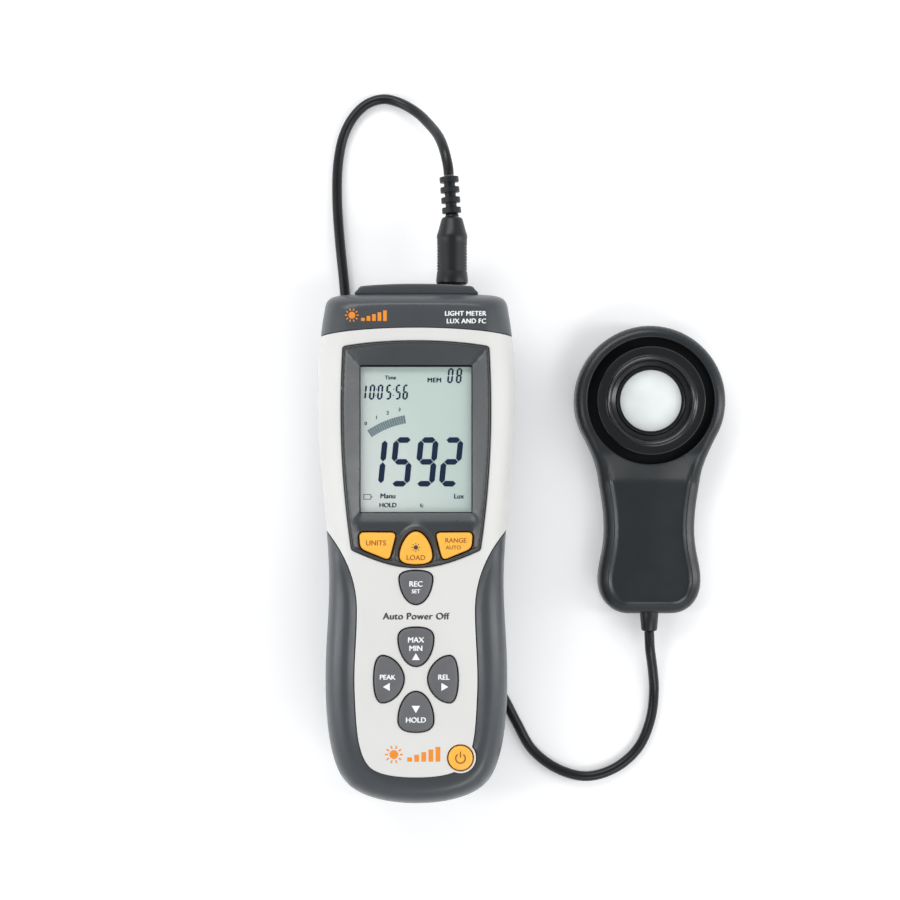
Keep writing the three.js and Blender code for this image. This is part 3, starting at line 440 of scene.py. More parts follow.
def along_edges(points, loop):
    """For each edge of a closed loop, the place on it that is closest to each point."""
    for a, b in zip(loop, np.roll(loop, -1, axis=0)):
        run = b - a
        t = np.clip(((points - a) @ run) / max(run @ run, 1e-12), 0, 1)
        yield a + t[:, None] * run


def from_loops(points, loops):
    """Each point's distance to the nearest of the closed loops."""
    best = np.full(len(points), np.inf)
    for loop in loops:
        for place in along_edges(points, loop):
            away = points - place
            best = np.minimum(best, np.einsum("ij,ij->i", away, away))
    return np.sqrt(best)


def smoothstep(x, low, high):
    t = np.clip((x - low) / (high - low), 0, 1)
    return t * t * (3 - 2 * t)


def roundover(distance, radius):
    """How far a rounded edge has dropped, as a share of its depth, at a distance in from it."""
    beyond = np.clip(1 - distance / radius, 0, 1)
    return 1 - np.sqrt(np.clip(1 - beyond ** 2, 0, 1))


def level(z):
    """A surface that is flat at one height."""
    return lambda points, *_: np.full(len(points), z)


def region(inside, outside=()):
    """A test for points that lie in all of some loops and in none of others."""
    def keep(points):
        kept = np.ones(len(points), bool)
        for loop in inside:
            kept &= in_loop(points, loop)
        for loop in outside:
            kept &= ~in_loop(points, loop)
        return kept

    return keep


# ---- mesh makers ----
def turned_out(mesh, weld):
    """The mesh's faces turned outwards, once doubled points are welded and open ends closed if asked."""
    work = bmesh.new()
    work.from_mesh(mesh)
    if weld:
        bmesh.ops.remove_doubles(work, verts=work.verts, dist=1e-7)
        bmesh.ops.holes_fill(work, edges=[e for e in work.edges if e.is_boundary], sides=0)
    bmesh.ops.recalc_face_normals(work, faces=work.faces)
    work.to_mesh(mesh)
    work.free()


def smoothed(mesh, angle):
    mesh.shade_smooth()
    mesh.set_sharp_from_angle(angle=math.radians(angle))


def mesh_object(name, points, faces, material, smooth=40, outwards=False, weld=False):
    """A new object from millimetre points in the row's frame."""
    mesh = bpy.data.meshes.new(name)
    mesh.from_pydata([tuple(p * MM) for p in np.asarray(points, float)], [], [tuple(f) for f in faces])
    mesh.validate()
    if outwards or weld:
        turned_out(mesh, weld)
    smoothed(mesh, smooth)
    mesh.materials.append(material)
    return in_scene(name, mesh)


def stacked(loop, heights):
    """The loop's points, once at each height."""
    return np.vstack([np.column_stack([loop, np.full(len(loop), z)]) for z in heights])


def tube_faces(count, rings=2):
    """The two ends and the sides of a body through rings of as many points."""
    faces = [tuple(range(count))[::-1], tuple(range((rings - 1) * count, rings * count))]
    for first in range(0, (rings - 1) * count, count):
        for i in range(count):
            a, b = first + i, first + (i + 1) % count
            faces.append((a, b, b + count, a + count))
    return faces


def stands_for(piece, body, slot, *nodes):
    """The piece rides on a body in place of the CAD nodes."""
    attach(piece, body)
    if nodes:
        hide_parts(*nodes)
    return piece


MERGE = 0.008  # points of a plate nearer than this are one
ROW = 0.866    # between rows of staggered points, as a share of their spacing


def rolled_rings(seams, roll, turns):
    """Rings beside each seam, closest where its rolled edge is steepest, and which points to keep."""
    rings = []
    for loop in seams:
        for k in range(1, turns + 1):
            by = roll * (1 - math.cos(k / turns * math.pi / 2))
            for ring in (grown(loop, by), grown(loop, -by)):
                rings.append((ring, from_loops(ring, [loop]) > 0.93 * by))
    return rings


def filling(loops, keep, spacing, margin, extra):
    """Staggered points over the inside of a region, clear of its edges and of the extra lines."""
    everything = np.vstack(loops)
    low, high = everything.min(0) + spacing / 2, everything.max(0)
    rows = np.arange(low[1], high[1], spacing * ROW)
    grid = np.array([(x + (spacing / 2 if i % 2 else 0), y) for i, y in enumerate(rows)
                     for x in np.arange(low[0], high[0], spacing)])
    grid = grid[keep(grid)]
    grid = grid[from_loops(grid, loops) > margin]
    return grid[from_loops(grid, extra) > 0.3 * spacing] if len(extra) else grid


def triangulated(lines, loose, keep):
    """Points and upward triangles over what is kept of a plane, with the lines as edges."""
    verts, edges = [], []
    for loop, wanted in lines:
        count = len(loop)
        place = len(verts) + np.cumsum(wanted) - 1
        verts += [Vector(p) for p in loop[wanted]]
        edges += [(int(place[i]), int(place[(i + 1) % count])) for i in range(count)
                  if wanted[i] and wanted[(i + 1) % count]]
    verts += [Vector(p) for p in loose]
    flat, _, triangles, *_ = delaunay_2d_cdt(verts, edges, [], 0, MERGE)
    flat = np.array([(v.x, v.y) for v in flat])
    triangles = np.array([t for t in triangles if len(t) == 3])
    one, two = (flat[triangles[:, k]] - flat[triangles[:, 0]] for k in (1, 2))
    if np.sum(one[:, 0] * two[:, 1] - one[:, 1] * two[:, 0]) < 0:
        triangles = triangles[:, ::-1]
    triangles = triangles[keep(flat[triangles].mean(1))]
    used, triangles = np.unique(triangles, return_inverse=True)
    return flat[used], triangles.reshape(-1, 3)


def plate(name, loops, keep, top, bottom, material, at=METER, roll=0.5, seams=None, extra=(), spacing=2.0,
          turns=4):
    """A closed plate over a flat region. keep says which (x, y) belong to it, top and bottom give
    its height there, and its edges along the seams are rolled over by a radius."""
    seams = loops if seams is None else seams
    lines = [(loop, np.ones(len(loop), bool)) for loop in loops]
    rings = [(ring, np.ones(len(ring), bool)) for ring in extra] + rolled_rings(seams, roll, turns)
    lines += [(ring, far & keep(ring)) for ring, far in rings]
    flat, triangles = triangulated(lines, filling(loops, keep, spacing, roll + 0.35 * spacing, extra), keep)
    upper = top(flat) - roll * roundover(from_loops(flat, seams), roll)
    lower = np.minimum(bottom(flat, upper), upper - 0.02)
    count = len(flat)
    faces = [tuple(t) for t in triangles] + [tuple(t[::-1] + count) for t in triangles]
    directed = {(t[i], t[(i + 1) % 3]) for t in triangles for i in range(3)}
    border = [(a, b) for a, b in directed if (b, a) not in directed]
    faces += [(b, a, a + count, b + count) for a, b in border]
    flat = flat + np.array(at)
    points = np.vstack([np.column_stack([flat, upper]), np.column_stack([flat, lower])])
    made = mesh_object(name, points, faces, material, 60)
    rim = {frozenset(pair) for pair in border}
    for line in made.data.edges:
        pair = frozenset(line.vertices)
        if max(pair) < count and pair not in rim:
            line.use_edge_sharp = False
    shading = made.modifiers.new("even_shading", "WEIGHTED_NORMAL")
    shading.mode = "FACE_AREA"
    shading.keep_sharp = True
    return made


def lathe(name, profile, centre, axis, material=BLACK_PART, sides=48):
    """A closed turned piece: (radius, along) points about a line through centre, along Y or Z."""
    points = []
    for radius, along in profile:
        for angle in np.linspace(0, 2 * math.pi, sides, endpoint=False):
            across = (radius * math.cos(angle), radius * math.sin(angle))
            if axis == "Z":
                points.append((centre[0] + across[0], centre[1] + across[1], along))
            else:
                points.append((centre[0] + across[0], along, centre[2] + across[1]))
    return mesh_object(name, points, tube_faces(sides, len(profile))[2:], material, 35, weld=True)


def lettering(text, size, at, bold=0.0, spacing=1.0, align="CENTER"):
    """Text as a flat mesh: its points in millimetres and its faces, struck twice where it is bold."""
    data = bpy.data.curves.new("lettering", "FONT")
    data.body = text
    data.size = size
    data.align_x = align
    data.align_y = "CENTER"
    data.extrude = 0.5
    data.space_character = spacing
    data.resolution_u = 4
    holder = in_scene("lettering", data)
    bpy.context.view_layer.update()
    mesh = holder.evaluated_get(bpy.context.evaluated_depsgraph_get()).to_mesh()
    points = np.array([v.co for v in mesh.vertices]).reshape(-1, 3) + [at[0], at[1], 0]
    faces = [tuple(p.vertices) for p in mesh.polygons]
    if bold:
        faces += [tuple(i + len(points) for i in face) for face in faces]
        under = np.where(points[:, 2] > 0, 0.3, points[:, 2])
        second = np.column_stack([points[:, :2] + [bold, bold / 2], under])
        points = np.vstack([points - [bold, bold / 2, 0], second])
    holder.to_mesh_clear()
    bpy.data.objects.remove(holder)
    bpy.data.curves.remove(data)
    return points, faces


def slab(polygon):
    """A flat polygon as the same kind of raised shape that lettering gives."""
    return stacked(np.asarray(polygon, float), (0.5, -0.5)), tube_faces(len(polygon))


def printed(name, marks, surface, material, body, slot, lift=0.05, sink=0.03):
    """Marks printed on the meter, on a surface whose height at (x, y) is given by a function."""
    points, faces = [], []
    for mark_points, mark_faces in marks:
        faces += [tuple(i + len(points) for i in face) for face in mark_faces]
        points += [tuple(p) for p in mark_points]
    points = np.array(points)
    height = surface(points[:, :2])
    points[:, 2] = np.where(points[:, 2] > 0, height + lift * points[:, 2] / 0.5, height - sink)
    stands_for(mesh_object(name, points + [METER_X, 0, 0], faces, material, outwards=True), body, slot)


# ---- the meter's case ----
CORNER = 11.5       # how far in the front face starts to round over
CORNER_DROP = 13.5  # and how far down it has gone by the outline
END_DRAW = 0.5      # the ends round over this much of what the sides do
WALL = 2.4
PART_GAP = 0.15     # between the front pieces and the back cover
LAP = 0.8           # width of the front pieces' foot on it
RIGHT = CASE[:len(CASE) // 2 + 1]


def half_width(y):
    return np.interp(-y, -RIGHT[:, 1], RIGHT[:, 0], left=0, right=0)


def case_ring(inset, spacing=1.2):
    """The case's outline drawn in by an amount at its sides, and by less at its ends."""
    return even(CASE * [1 - inset / W, 1 - END_DRAW * inset / E], spacing)


def case_inset(points):
    """How far in from the outline each point lies, up to where the face is flat."""
    x, y = np.abs(points[:, 0]), points[:, 1]
    low, high = np.zeros(len(x)), np.full(len(x), CORNER)
    for _ in range(24):
        middle = (low + high) / 2
        along = y / (1 - END_DRAW * middle / E)
        beyond = (x / (1 - middle / W) > half_width(along)) | (along > BAND_END) | (along < -E)
        high = np.where(beyond, middle, high)
        low = np.where(beyond, low, middle)
    return (low + high) / 2


def case_top(points):
    return FRONT_Z - CORNER_DROP * roundover(case_inset(points), CORNER)


def shell_under(points, upper):
    """The inside of a front piece: a wall's thickness down, and down to the back cover at the outline."""
    skirt = PART_Z + PART_GAP
    down = np.clip((case_inset(points) - LAP) / WALL, 0, 1)
    return skirt + (upper - WALL - skirt) * down


def bulged(loop, centre, radius):
    """The loop, run clockwise, with a disc added that it passes through."""
    inside = np.linalg.norm(loop - centre, axis=1) < radius
    start = np.flatnonzero(inside & ~np.roll(inside, 1))[0]
    loop, inside = np.roll(loop, -start, axis=0), np.roll(inside, -start)
    rest = loop[~inside]
    a, b = (math.degrees(math.atan2(*(p - centre)[::-1])) for p in (rest[-1], rest[0]))
    return np.vstack([rest, arc(centre, radius, a, b - 360 if b > a else b, 48)[1:-1]])


CASE_RINGS = [case_ring(d) for d in (0.03, 0.14, 0.35, 0.7, 1.2, 1.9, 2.8, 3.9, 5.2, 6.8, 8.6, 10.6)]
OUTER = even(CASE, 1.0)
LIGHT_EDGE = bulged(even(LIGHT, 0.9), np.array(POWER_AT), POWER_RIM)
BOOT_EDGE = grown(LIGHT_EDGE, SEAM)
BEZEL_EDGE = even(BEZEL_LOOP, 0.8)
BEZEL_HOLE = grown(BEZEL_EDGE, 0.35)
BEZEL_KEYS = ("units_button", "backlight_button", "range_button")


def key_loop(name, by=0.0):
    return grown(even(KEYS[name][0], 0.5), by)


def front_cover():
    holes = [key_loop(name, KEY_GAP) for name in KEYS if name not in BEZEL_KEYS] + [BEZEL_HOLE]
    seams = [LIGHT_EDGE] + holes
    piece = plate("light_front", [OUTER] + seams, region([OUTER, LIGHT_EDGE], holes), case_top, shell_under,
                  LIGHT_CASE, roll=0.45, seams=seams, extra=CASE_RINGS, spacing=3)
    stands_for(piece, "meter", "light_case", "front_cover")


TERRACE = 0.31      # share of the way out, from the light cover to the outline, where the boot is flat
TERRACE_DROP = 3.0  # how far the terrace lies under the light cover
LIP = 1.3           # how far the lip stands over the terrace
BOOT_LINE = grown(even(LIGHT, 0.9), SEAM)


def boot_top(points):
    """A lip along the light cover's sides, a narrow terrace, then a shoulder that rolls over the side."""
    inner, outer = from_loops(points, [BOOT_LINE]), from_loops(points, [OUTER])
    width = inner + outer + 1e-6
    out = inner / width
    lip = LIP * smoothstep(points[:, 1], -88, -70) * np.clip(1 - out / TERRACE, 0, 1) ** 2
    over = np.clip((out - TERRACE) / (1 - TERRACE), 0, 1)
    shoulder = (CORNER_DROP - TERRACE_DROP) * np.sqrt(np.clip(1 - over ** 2.2, 0, 1))
    share = smoothstep(width, 2, 10)
    return case_top(points) * (1 - share) + (FRONT_Z - CORNER_DROP + shoulder + lip) * share


def nearest(points, loop):
    """The closest point of a closed loop to each point."""
    best, found = np.full(len(points), np.inf), np.zeros((len(points), 2))
    for place in along_edges(points, loop):
        away = np.linalg.norm(points - place, axis=1)
        found[away < best] = place[away < best]
        best = np.minimum(best, away)
    return found


def grip_boot():
    line = even(BOOT_LINE[in_loop(BOOT_LINE, OUTER)], 1.1)
    outward = nearest(line, OUTER) - line
    shares = np.concatenate([np.arange(0.05, 0.94, 0.05), [0.96, 0.98, 0.992]])
    piece = plate("grip_rubber", [OUTER, BOOT_EDGE], region([OUTER], [BOOT_EDGE, even(BAND, 1.2)]), boot_top,
                  shell_under, BOOT, roll=0.4, seams=[BOOT_EDGE],
                  extra=[line + share * outward for share in shares], spacing=2.2)
    stands_for(piece, "meter", "dark_trim", "grip_boot")


def top_band():
    edge = even(BAND, 1.0)
    piece = plate("top_end_band", [OUTER, edge], region([OUTER, edge]), case_top, shell_under, BOOT,
                  roll=0.35, seams=[edge], extra=CASE_RINGS, spacing=2.2)
    stands_for(piece, "meter", "dark_trim", "top_band")


# ---- display bezel ----
RIM = 1.1           # the raised line around the bezel
FUNNEL_LOW = 45.0   # where the slopes meet the window
PLATEAU = 46.5      # the flat round the three yellow keys
BEZEL_FOOT = 42.6
(WINDOW_X0, WINDOW_Y0), (WINDOW_X1, WINDOW_Y1) = WINDOW[0], WINDOW[2]


def bezel_top(points):
    """Slopes down to the window, a flat for the keys with a ridge round the middle one, and the rim."""
    x, y = points[:, 0], points[:, 1]
    away = np.maximum.reduce([WINDOW_X0 - x, x - WINDOW_X1, WINDOW_Y0 - y, y - WINDOW_Y1, 0 * x])
    rim = from_loops(points, [BEZEL_EDGE])
    rise = away / (away + np.clip(rim - RIM, 0, None) + 1e-9)
    slopes = FUNNEL_LOW + (BEZEL_TOP - 0.35 - FUNNEL_LOW) * rise
    keys_flat = FUNNEL_LOW + (PLATEAU - FUNNEL_LOW) * np.clip((WINDOW_Y0 - y) / 4, 0, 1)
    side = smoothstep(np.abs(x), 21.3, 23.5)
    below = keys_flat * (1 - side) + np.maximum(slopes, keys_flat) * side
    ridge = 0.75 * np.exp(-((from_loops(points, [BELL]) - 1.7) / 0.75) ** 2)
    ridge *= (y < 9) * np.clip((y + 9) / 6, 0, 1)
    raised = np.clip((RIM - rim) / 0.25 + 0.5, 0, 1)
    return (np.where(y < WINDOW_Y0, below, slopes) + ridge) * (1 - raised) + BEZEL_TOP * raised


def display_bezel():
    holes = [key_loop(name, KEY_GAP) for name in BEZEL_KEYS]
    window = even(WINDOW, 1.0)
    lines = [grown(BEZEL_EDGE, -by) for by in (RIM - 0.12, RIM + 0.12, RIM + 0.6)]
    lines += [corner + np.outer(np.arange(0.5, 8, 0.5), way)
              for corner, way in zip(WINDOW, [(-1, -1), (1, -1), (1, 1), (-1, 1)])]
    lines += [key_loop("backlight_button", by) for by in (0.9, 1.3, 1.7, 2.1, 2.6, 3.1)]
    piece = plate("screen_bezel", [BEZEL_EDGE, window] + holes, region([BEZEL_EDGE], holes + [window]),
                  bezel_top, level(BEZEL_FOOT), BEZEL, roll=0.3, extra=lines, spacing=1.3)
    stands_for(piece, "meter", "bezel", "display_bezel")


# ---- keys ----
CROWN = 0.55        # how far a key's face falls at its edge
CROWN_REACH = 4.2   # and how far in from the edge it starts to
KEY_FOOT = 40.4


def key_surface(name):
    """The height of a key's face at points about the meter's middle line."""
    def height(points):
        near = np.clip(1 - from_loops(points, [key_loop(name)]) / CROWN_REACH, 0, 1)
        return KEY_TOP - 0.05 - CROWN * near ** 2

    return height


def key(name):
    loop, finish = key_loop(name), KEYS[name][1]
    piece = plate(name + "_cap", [loop], region([loop]), key_surface(name), level(KEY_FOOT), finish, roll=0.7,
                  spacing=1.0, turns=6)
    stands_for(piece, name, "yellow_key" if finish is YELLOW_KEY else "grey_key", name)


def triangle(at, size, turn):
    """A pointer, up at no turn, cut into a fan about its middle."""
    corners = arc(at, size, turn + 90, turn + 330, 2)
    edge = even(corners, size * 0.433)
    count = len(edge)
    under, faces = count + 1, []
    for i in range(count):
        j = (i + 1) % count
        faces += [(i, j, count), (under + j, under + i, under + count), (j, i, under + i, under + j)]
    return stacked(np.vstack([edge, [at]]), (0.5, -0.5)), faces


def sun(at, radius, rays=8):
    """A plain sun: a disc with short rays."""
    marks = [slab(circle(at, radius * 0.5, count=24))]
    for angle in np.radians(np.arange(rays) * 360 / rays):
        turn = np.array([(math.cos(angle), math.sin(angle)), (-math.sin(angle), math.cos(angle))])
        marks.append(slab(radius * box_loop(0.68, 1, -0.085, 0.085) @ turn + at))
    return marks


LEGENDS = {
    "record_button": [("REC", 2.9, (0, -14.9), 0.1), ("SET", 2.1, (0, -17.7), 0.07)],
    "max_min_button": [("MAX", 2.9, (0, -36.2), 0.1), ("MIN", 2.9, (0, -39.4), 0.1)],
    "peak_button": [("PEAK", 2.6, (-10.8, -50.4), 0.1)],
    "relative_button": [("REL", 2.8, (10.6, -50.4), 0.1)],
    "hold_button": [("HOLD", 2.8, (0, -66.7), 0.1)],
    "units_button": [("UNITS", 2.8, (-15.2, 0.7), 0.07)],
    "backlight_button": [("LOAD", 2.7, (0, -4.9), 0.06)],
    "range_button": [("RANGE", 2.5, (15.2, 1.7), 0.06), ("AUTO", 2.1, (14.3, -1), 0.05)],
    "power_button": [],
}
SIGNS = {
    "max_min_button": [triangle((0, -42.9), 1.75, 0)],
    "peak_button": [triangle((-10.8, -54), 1.75, 90)],
    "relative_button": [triangle((10.6, -54), 1.75, -90)],
    "hold_button": [triangle((0, -62.1), 1.85, 180)],
    "power_button": [slab(np.vstack([arc(POWER_AT, 2.1, 125, 415, 40), arc(POWER_AT, 1.55, 415, 125, 40)])),
                     slab(box_loop(16.72, 17.28, -80.9, -78.6))],
}


def legends():
    """The words and signs on the keys: white on the grey ones and brown on the yellow ones."""
    for name, words in LEGENDS.items():
        marks = [lettering(*word) for word in words] + SIGNS.get(name, [])
        grey = KEYS[name][1] is GREY_KEY
        ink, slot = (WHITE_INK, "white_plastic") if grey else (BROWN_INK, "dark_trim")
        printed(name + "_legend", marks, key_surface(name), ink, name, slot)
    printed("backlight_button_lamp", sun((0, -0.9), 1.7), key_surface("backlight_button"), DARK_INK,
            "backlight_button", "dark_trim")


# ---- print on the case ----
def stairs(x, pitch, width, foot, lowest, step):
    """Five bars from left to right, each taller than the last."""
    return [slab(box_loop(x + k * pitch, x + k * pitch + width, foot, foot + lowest + k * step))
            for k in range(5)]


def case_print():
    printed("auto_power_label", [lettering("Auto Power Off", 3.6, (0, -27.3), 0.16, 1.06)], case_top,
            DARK_INK, "meter", "dark_trim")
    for name, marks in (("lower", sun((-8.4, -79.9), 3.4, 10) + stairs(-3.3, 2.7, 1.8, -82.6, 1.6, 1)),
                        ("upper", sun((-24.4, 87.6), 2.6, 10) + stairs(-20.9, 2.1, 1.4, 85.4, 1.2, 0.7))):
        printed("light_scale_" + name, marks, case_top, ORANGE_INK, "meter", "yellow_key")
    words = [lettering(text, 2.5, (26.8, y), 0.1, 1.05, "RIGHT")
             for text, y in (("LIGHT METER", 88.2), ("LUX AND FC", 85.3))]
    printed("unit_label", words, case_top, WHITE_INK, "meter", "white_plastic")


# ---- what the display shows ----
LIT = {"0": "abcdef", "1": "bc", "2": "abged", "5": "afgcd", "6": "afgcde", "8": "abcdefg", "9": "abcdfg"}
SLANT = 0.1         # how far a digit leans for each millimetre of its height


def seven_segment(digit, at, width, height, stroke):
    """One digit as its lit bars, with small gaps where the bars meet."""
    half, gap = stroke / 2, stroke * 0.08
    left, right, low, middle, high = half, width - half, half, height / 2, height - half
    bars = {"a": (left, high, 0), "g": (left, middle, 0), "d": (left, low, 0), "e": (left, low, 1),
            "c": (right, low, 1), "f": (left, middle, 1), "b": (right, middle, 1)}
    marks = []
    for bar in LIT[digit]:
        x, y, upright = bars[bar]
        far = (middle if y == low else high) - y - gap if upright else right - left - gap
        shape = [(gap, 0), (gap + half, half), (far - half, half), (far, 0), (far - half, -half),
                 (gap + half, -half)]
        shape = [(x + v, y + u) if upright else (x + u, y + v) for u, v in shape]
        marks.append(slab([(at[0] + x + SLANT * y, at[1] + y) for x, y in shape][::-1]))
    return marks


# Each row of digits: the digits, where each starts, the row's foot, and a digit's width, height and stroke.
DIGIT_ROWS = [
    ("1592", (-20.4, -10.4, -0.9, 8.6), 22.2, (7.8, 18.9, 2.15)),
    ("100556", (-21.4, -18.2, -15.1, -11.8, -8.2, -5.4), 55.5, (2.1, 5.8, 0.68)),
    ("08", (11.8, 15.1), 61.8, (2.15, 5.8, 0.68)),
]
DISPLAY_WORDS = [
    ("Time", 2.1, (-9.8, 63.9), 0.07), ("MEM", 2.5, (7.0, 62.9), 0.12, 1.1),
    ("Manu", 2.7, (-10.8, 18.5), 0.1), ("HOLD", 2.4, (-10.8, 15), 0.1),
    ("Lux", 2.6, (16.4, 18.4), 0.1), ("fc", 2.1, (2.2, 14.9), 0.06),
]


def display_marks():
    """The lit digits, the clock's colons and the words round them."""
    marks = []
    for digits, places, foot, form in DIGIT_ROWS:
        for digit, x in zip(digits, places):
            marks += seven_segment(digit, (x, foot), *form)
    for x in (-15.43, -8.78):
        marks += [slab(circle((x + dx, 55.5 + dy), 0.22, count=12)) for dx, dy in ((0, 1.7), (0.23, 4))]
    return marks + [lettering(*word) for word in DISPLAY_WORDS]


SCALE_MIDDLE, SCALE_REACH = (2.2, 12.9), 37.2


def scale_cells():
    """The display's unlit bar graph, a curved band of cells, and a low-battery outline."""
    marks = []
    for a in 124.2 - 1.42 * np.arange(17):
        b = a - 1.25
        marks.append(slab(np.vstack([arc(SCALE_MIDDLE, SCALE_REACH, a, b, 2),
                                     arc(SCALE_MIDDLE, SCALE_REACH - 3.1, b, a, 2)])))
    battery = ((-20.2, -17.2, 17.2, 17.5), (-20.2, -17.2, 19, 19.3), (-20.2, -19.9, 17.5, 19),
               (-17.5, -17.2, 17.5, 19), (-17.2, -16.8, 17.9, 18.6))
    return marks + [slab(box_loop(*bar)) for bar in battery]


def scale_numbers():
    return [lettering(number, 1.9, arc(SCALE_MIDDLE, SCALE_REACH + 2.5, angle, angle, 1)[0], 0.06)
            for number, angle in zip("0123", (122.8, 116, 109.2, 102.4))]


def display():
    for name, marks, ink in (("segments", display_marks(), LCD_INK), ("bar_cells", scale_cells(), LCD_FAINT),
                             ("bar_numbers", scale_numbers(), LCD_INK)):
        printed("display_" + name, marks, level(LCD_TOP), ink, "meter", "lcd", 0.06, -0.01)


BORDER_OUT = 0.3    # how far the window's printed border runs under the bezel


def window_border_and_shadow():
    """A dark band round the edge of the display's window: a printed border, and painted shadow of the bezel
    that makes it widest along its upper edge.
    """
    x0, x1 = WINDOW_X0 - BORDER_OUT, WINDOW_X1 + BORDER_OUT
    # The upper bar is the widest: painted shadow of the bezel along the window's upper edge.
    low, high = WINDOW_Y0 + 0.25, WINDOW_Y1 - 0.75
    bars = [(x0, x1, high, WINDOW_Y1 + BORDER_OUT), (x0, x1, WINDOW_Y0 - BORDER_OUT, low),
            (x0, WINDOW_X0 + 0.3, low, high), (WINDOW_X1 - 0.3, x1, low, high)]
    printed("window_border_and_shadow", [slab(box_loop(*bar)) for bar in bars], level(box_mm("display_lens")[1].z),
            WINDOW_INK_AND_SHADE, "meter", "bezel", 0.04, -0.01)


# ---- connector end ----
def prism(name, loop, low, high, material=BLACK_PART):
    """A closed prism over an outline in the row's frame."""
    return mesh_object(name, stacked(loop, (low, high)), tube_faces(len(loop)), material, outwards=True)


def tool_box(x0, x1, y0, y1, low, high, radius=0.0):
    return prism("tool", box_loop(x0, x1, y0, y1, radius), low, high)


def bevelled(piece, width, segments, angle):
    """Round a piece's sharp edges."""
    bevel = piece.modifiers.new("rounded_edges", "BEVEL")
    bevel.width = width * MM
    bevel.segments = segments
    bevel.limit_method = "ANGLE"
    bevel.angle_limit = math.radians(angle)


def cut_away(piece, cutters, smooth):
    """Cut shapes out of a piece, then drop them. Its earlier modifiers are applied first."""
    for tool in cutters:
        boolean = piece.modifiers.new("cut", "BOOLEAN")
        boolean.operation = "DIFFERENCE"
        boolean.solver = "EXACT"
        boolean.object = tool
    bpy.context.view_layer.update()
    made = bpy.data.meshes.new_from_object(piece.evaluated_get(bpy.context.evaluated_depsgraph_get()))
    piece.modifiers.clear()
    spent = [piece.data] + [tool.data for tool in cutters]
    piece.data = made
    for tool in cutters:
        bpy.data.objects.remove(tool)
    for mesh in spent:
        bpy.data.meshes.remove(mesh)
    smoothed(made, smooth)


JACK_LINE = (JACK.x, 0, JACK.z)  # where the plug's axis runs


def connector_cap():
    low, high = box_mm("connector_cap")
    flap_low, flap_high = box_mm("usb_port_cover")
    half = path((0, high.y), ((9, high.y), (15, high.y - 0.3), (20.3, high.y - 0.8)),
                ((21.6, high.y - 0.9), (22.2, high.y - 1.2), (22.5, high.y - 2.1)), (23.8, 97.2), (24, 96.2),
                (0, 96.2), steps=8)
    mouth = box_mm("sensor_jack")[1].y + 0.2
    body = prism("end_cap", even(mirrored(half), 0.8) + METER, low.z, high.z, BOOT)
    bevelled(body, 0.9, 3, 50)
    bore = [(0, 80), (6.1, 80), (6.1, mouth), (6.6, mouth + 1.5), (0, mouth + 1.5)]
    cut_away(body, [
        lathe("tool", bore, JACK_LINE, "Y"),
        tool_box(flap_low.x - 0.3, flap_high.x + 0.3, flap_low.y - 0.3, 105, flap_low.z - 1.4,
                 flap_high.z + 0.3),
        tool_box(flap_low.x + 2.9, flap_high.x - 2.9, 80, 105, 22.2, 26.8)], 35)
    stands_for(body, "meter", "dark_trim", "connector_cap")


def sensor_socket():
    low, high = box_mm("sensor_jack")
    r, bore = (high.x - low.x) / 2, 4.6
    profile = [(0, low.y), (r, low.y), (r, high.y - 0.6), (r - 0.5, high.y), (bore + 0.5, high.y),
               (bore, high.y - 0.5), (bore, low.y + 1.5), (0, low.y + 1.5)]
    stands_for(lathe("sensor_socket", profile, JACK_LINE, "Y", sides=64), "meter", "cord", "sensor_jack")


# ---- plug and bend relief ----
def plug():
    """A ringed grip with its rings smoothed off above and below, then a plain shoulder."""
    low, high = box_mm("plug_body")
    r, foot, end = (high.x - low.x) / 2, low.y, high.y
    shoulder = foot + 18
    profile = [(0, foot), (r - 0.7, foot), (r - 0.15, foot + 0.5), (r, foot + 1.3), (r - 0.25, foot + 4)]
    for k in range(9):
        y = foot + 5 + k * 1.2
        profile += [(r - 0.4, y), (r - 0.62, y + 0.15), (r - 0.62, y + 0.45), (r - 0.4, y + 0.6)]
    profile += [(r - 0.42, shoulder - 0.6), (r - 0.25, shoulder + 0.4), (r - 0.35, shoulder + 1.3),
                (r - 0.8, shoulder + 2.6), (4.25, end - 1.0), (3.95, end - 0.35), (3.5, end), (0, end)]
    body = lathe("plug_grip", profile, JACK_LINE, "Y", PLUG_RUBBER, 96)
    for vertex in body.data.vertices:
        x, z = vertex.co.x / MM - JACK.x, vertex.co.z / MM - JACK.z
        radius = math.hypot(x, z)
        ringed = foot + 4.5 < vertex.co.y / MM < shoulder - 1
        if ringed and abs(z) > 0.5 * radius and r - 0.7 < radius < r - 0.38:
            vertex.co.x = (JACK.x + x * (r - 0.4) / radius) * MM
            vertex.co.z = (JACK.z + z * (r - 0.4) / radius) * MM
    stands_for(body, "sensor_and_lead", "cord", "plug_body")
    return body


LEAN = math.radians(4.5)  # by which the bend relief leans to the lead
RIB_PITCH = 4.0


def behind_plug(reach):
    start = box_mm("plug_body")[1].y + 0.3
    return (JACK.x - math.sin(LEAN) * reach, start + math.cos(LEAN) * reach, JACK.z)


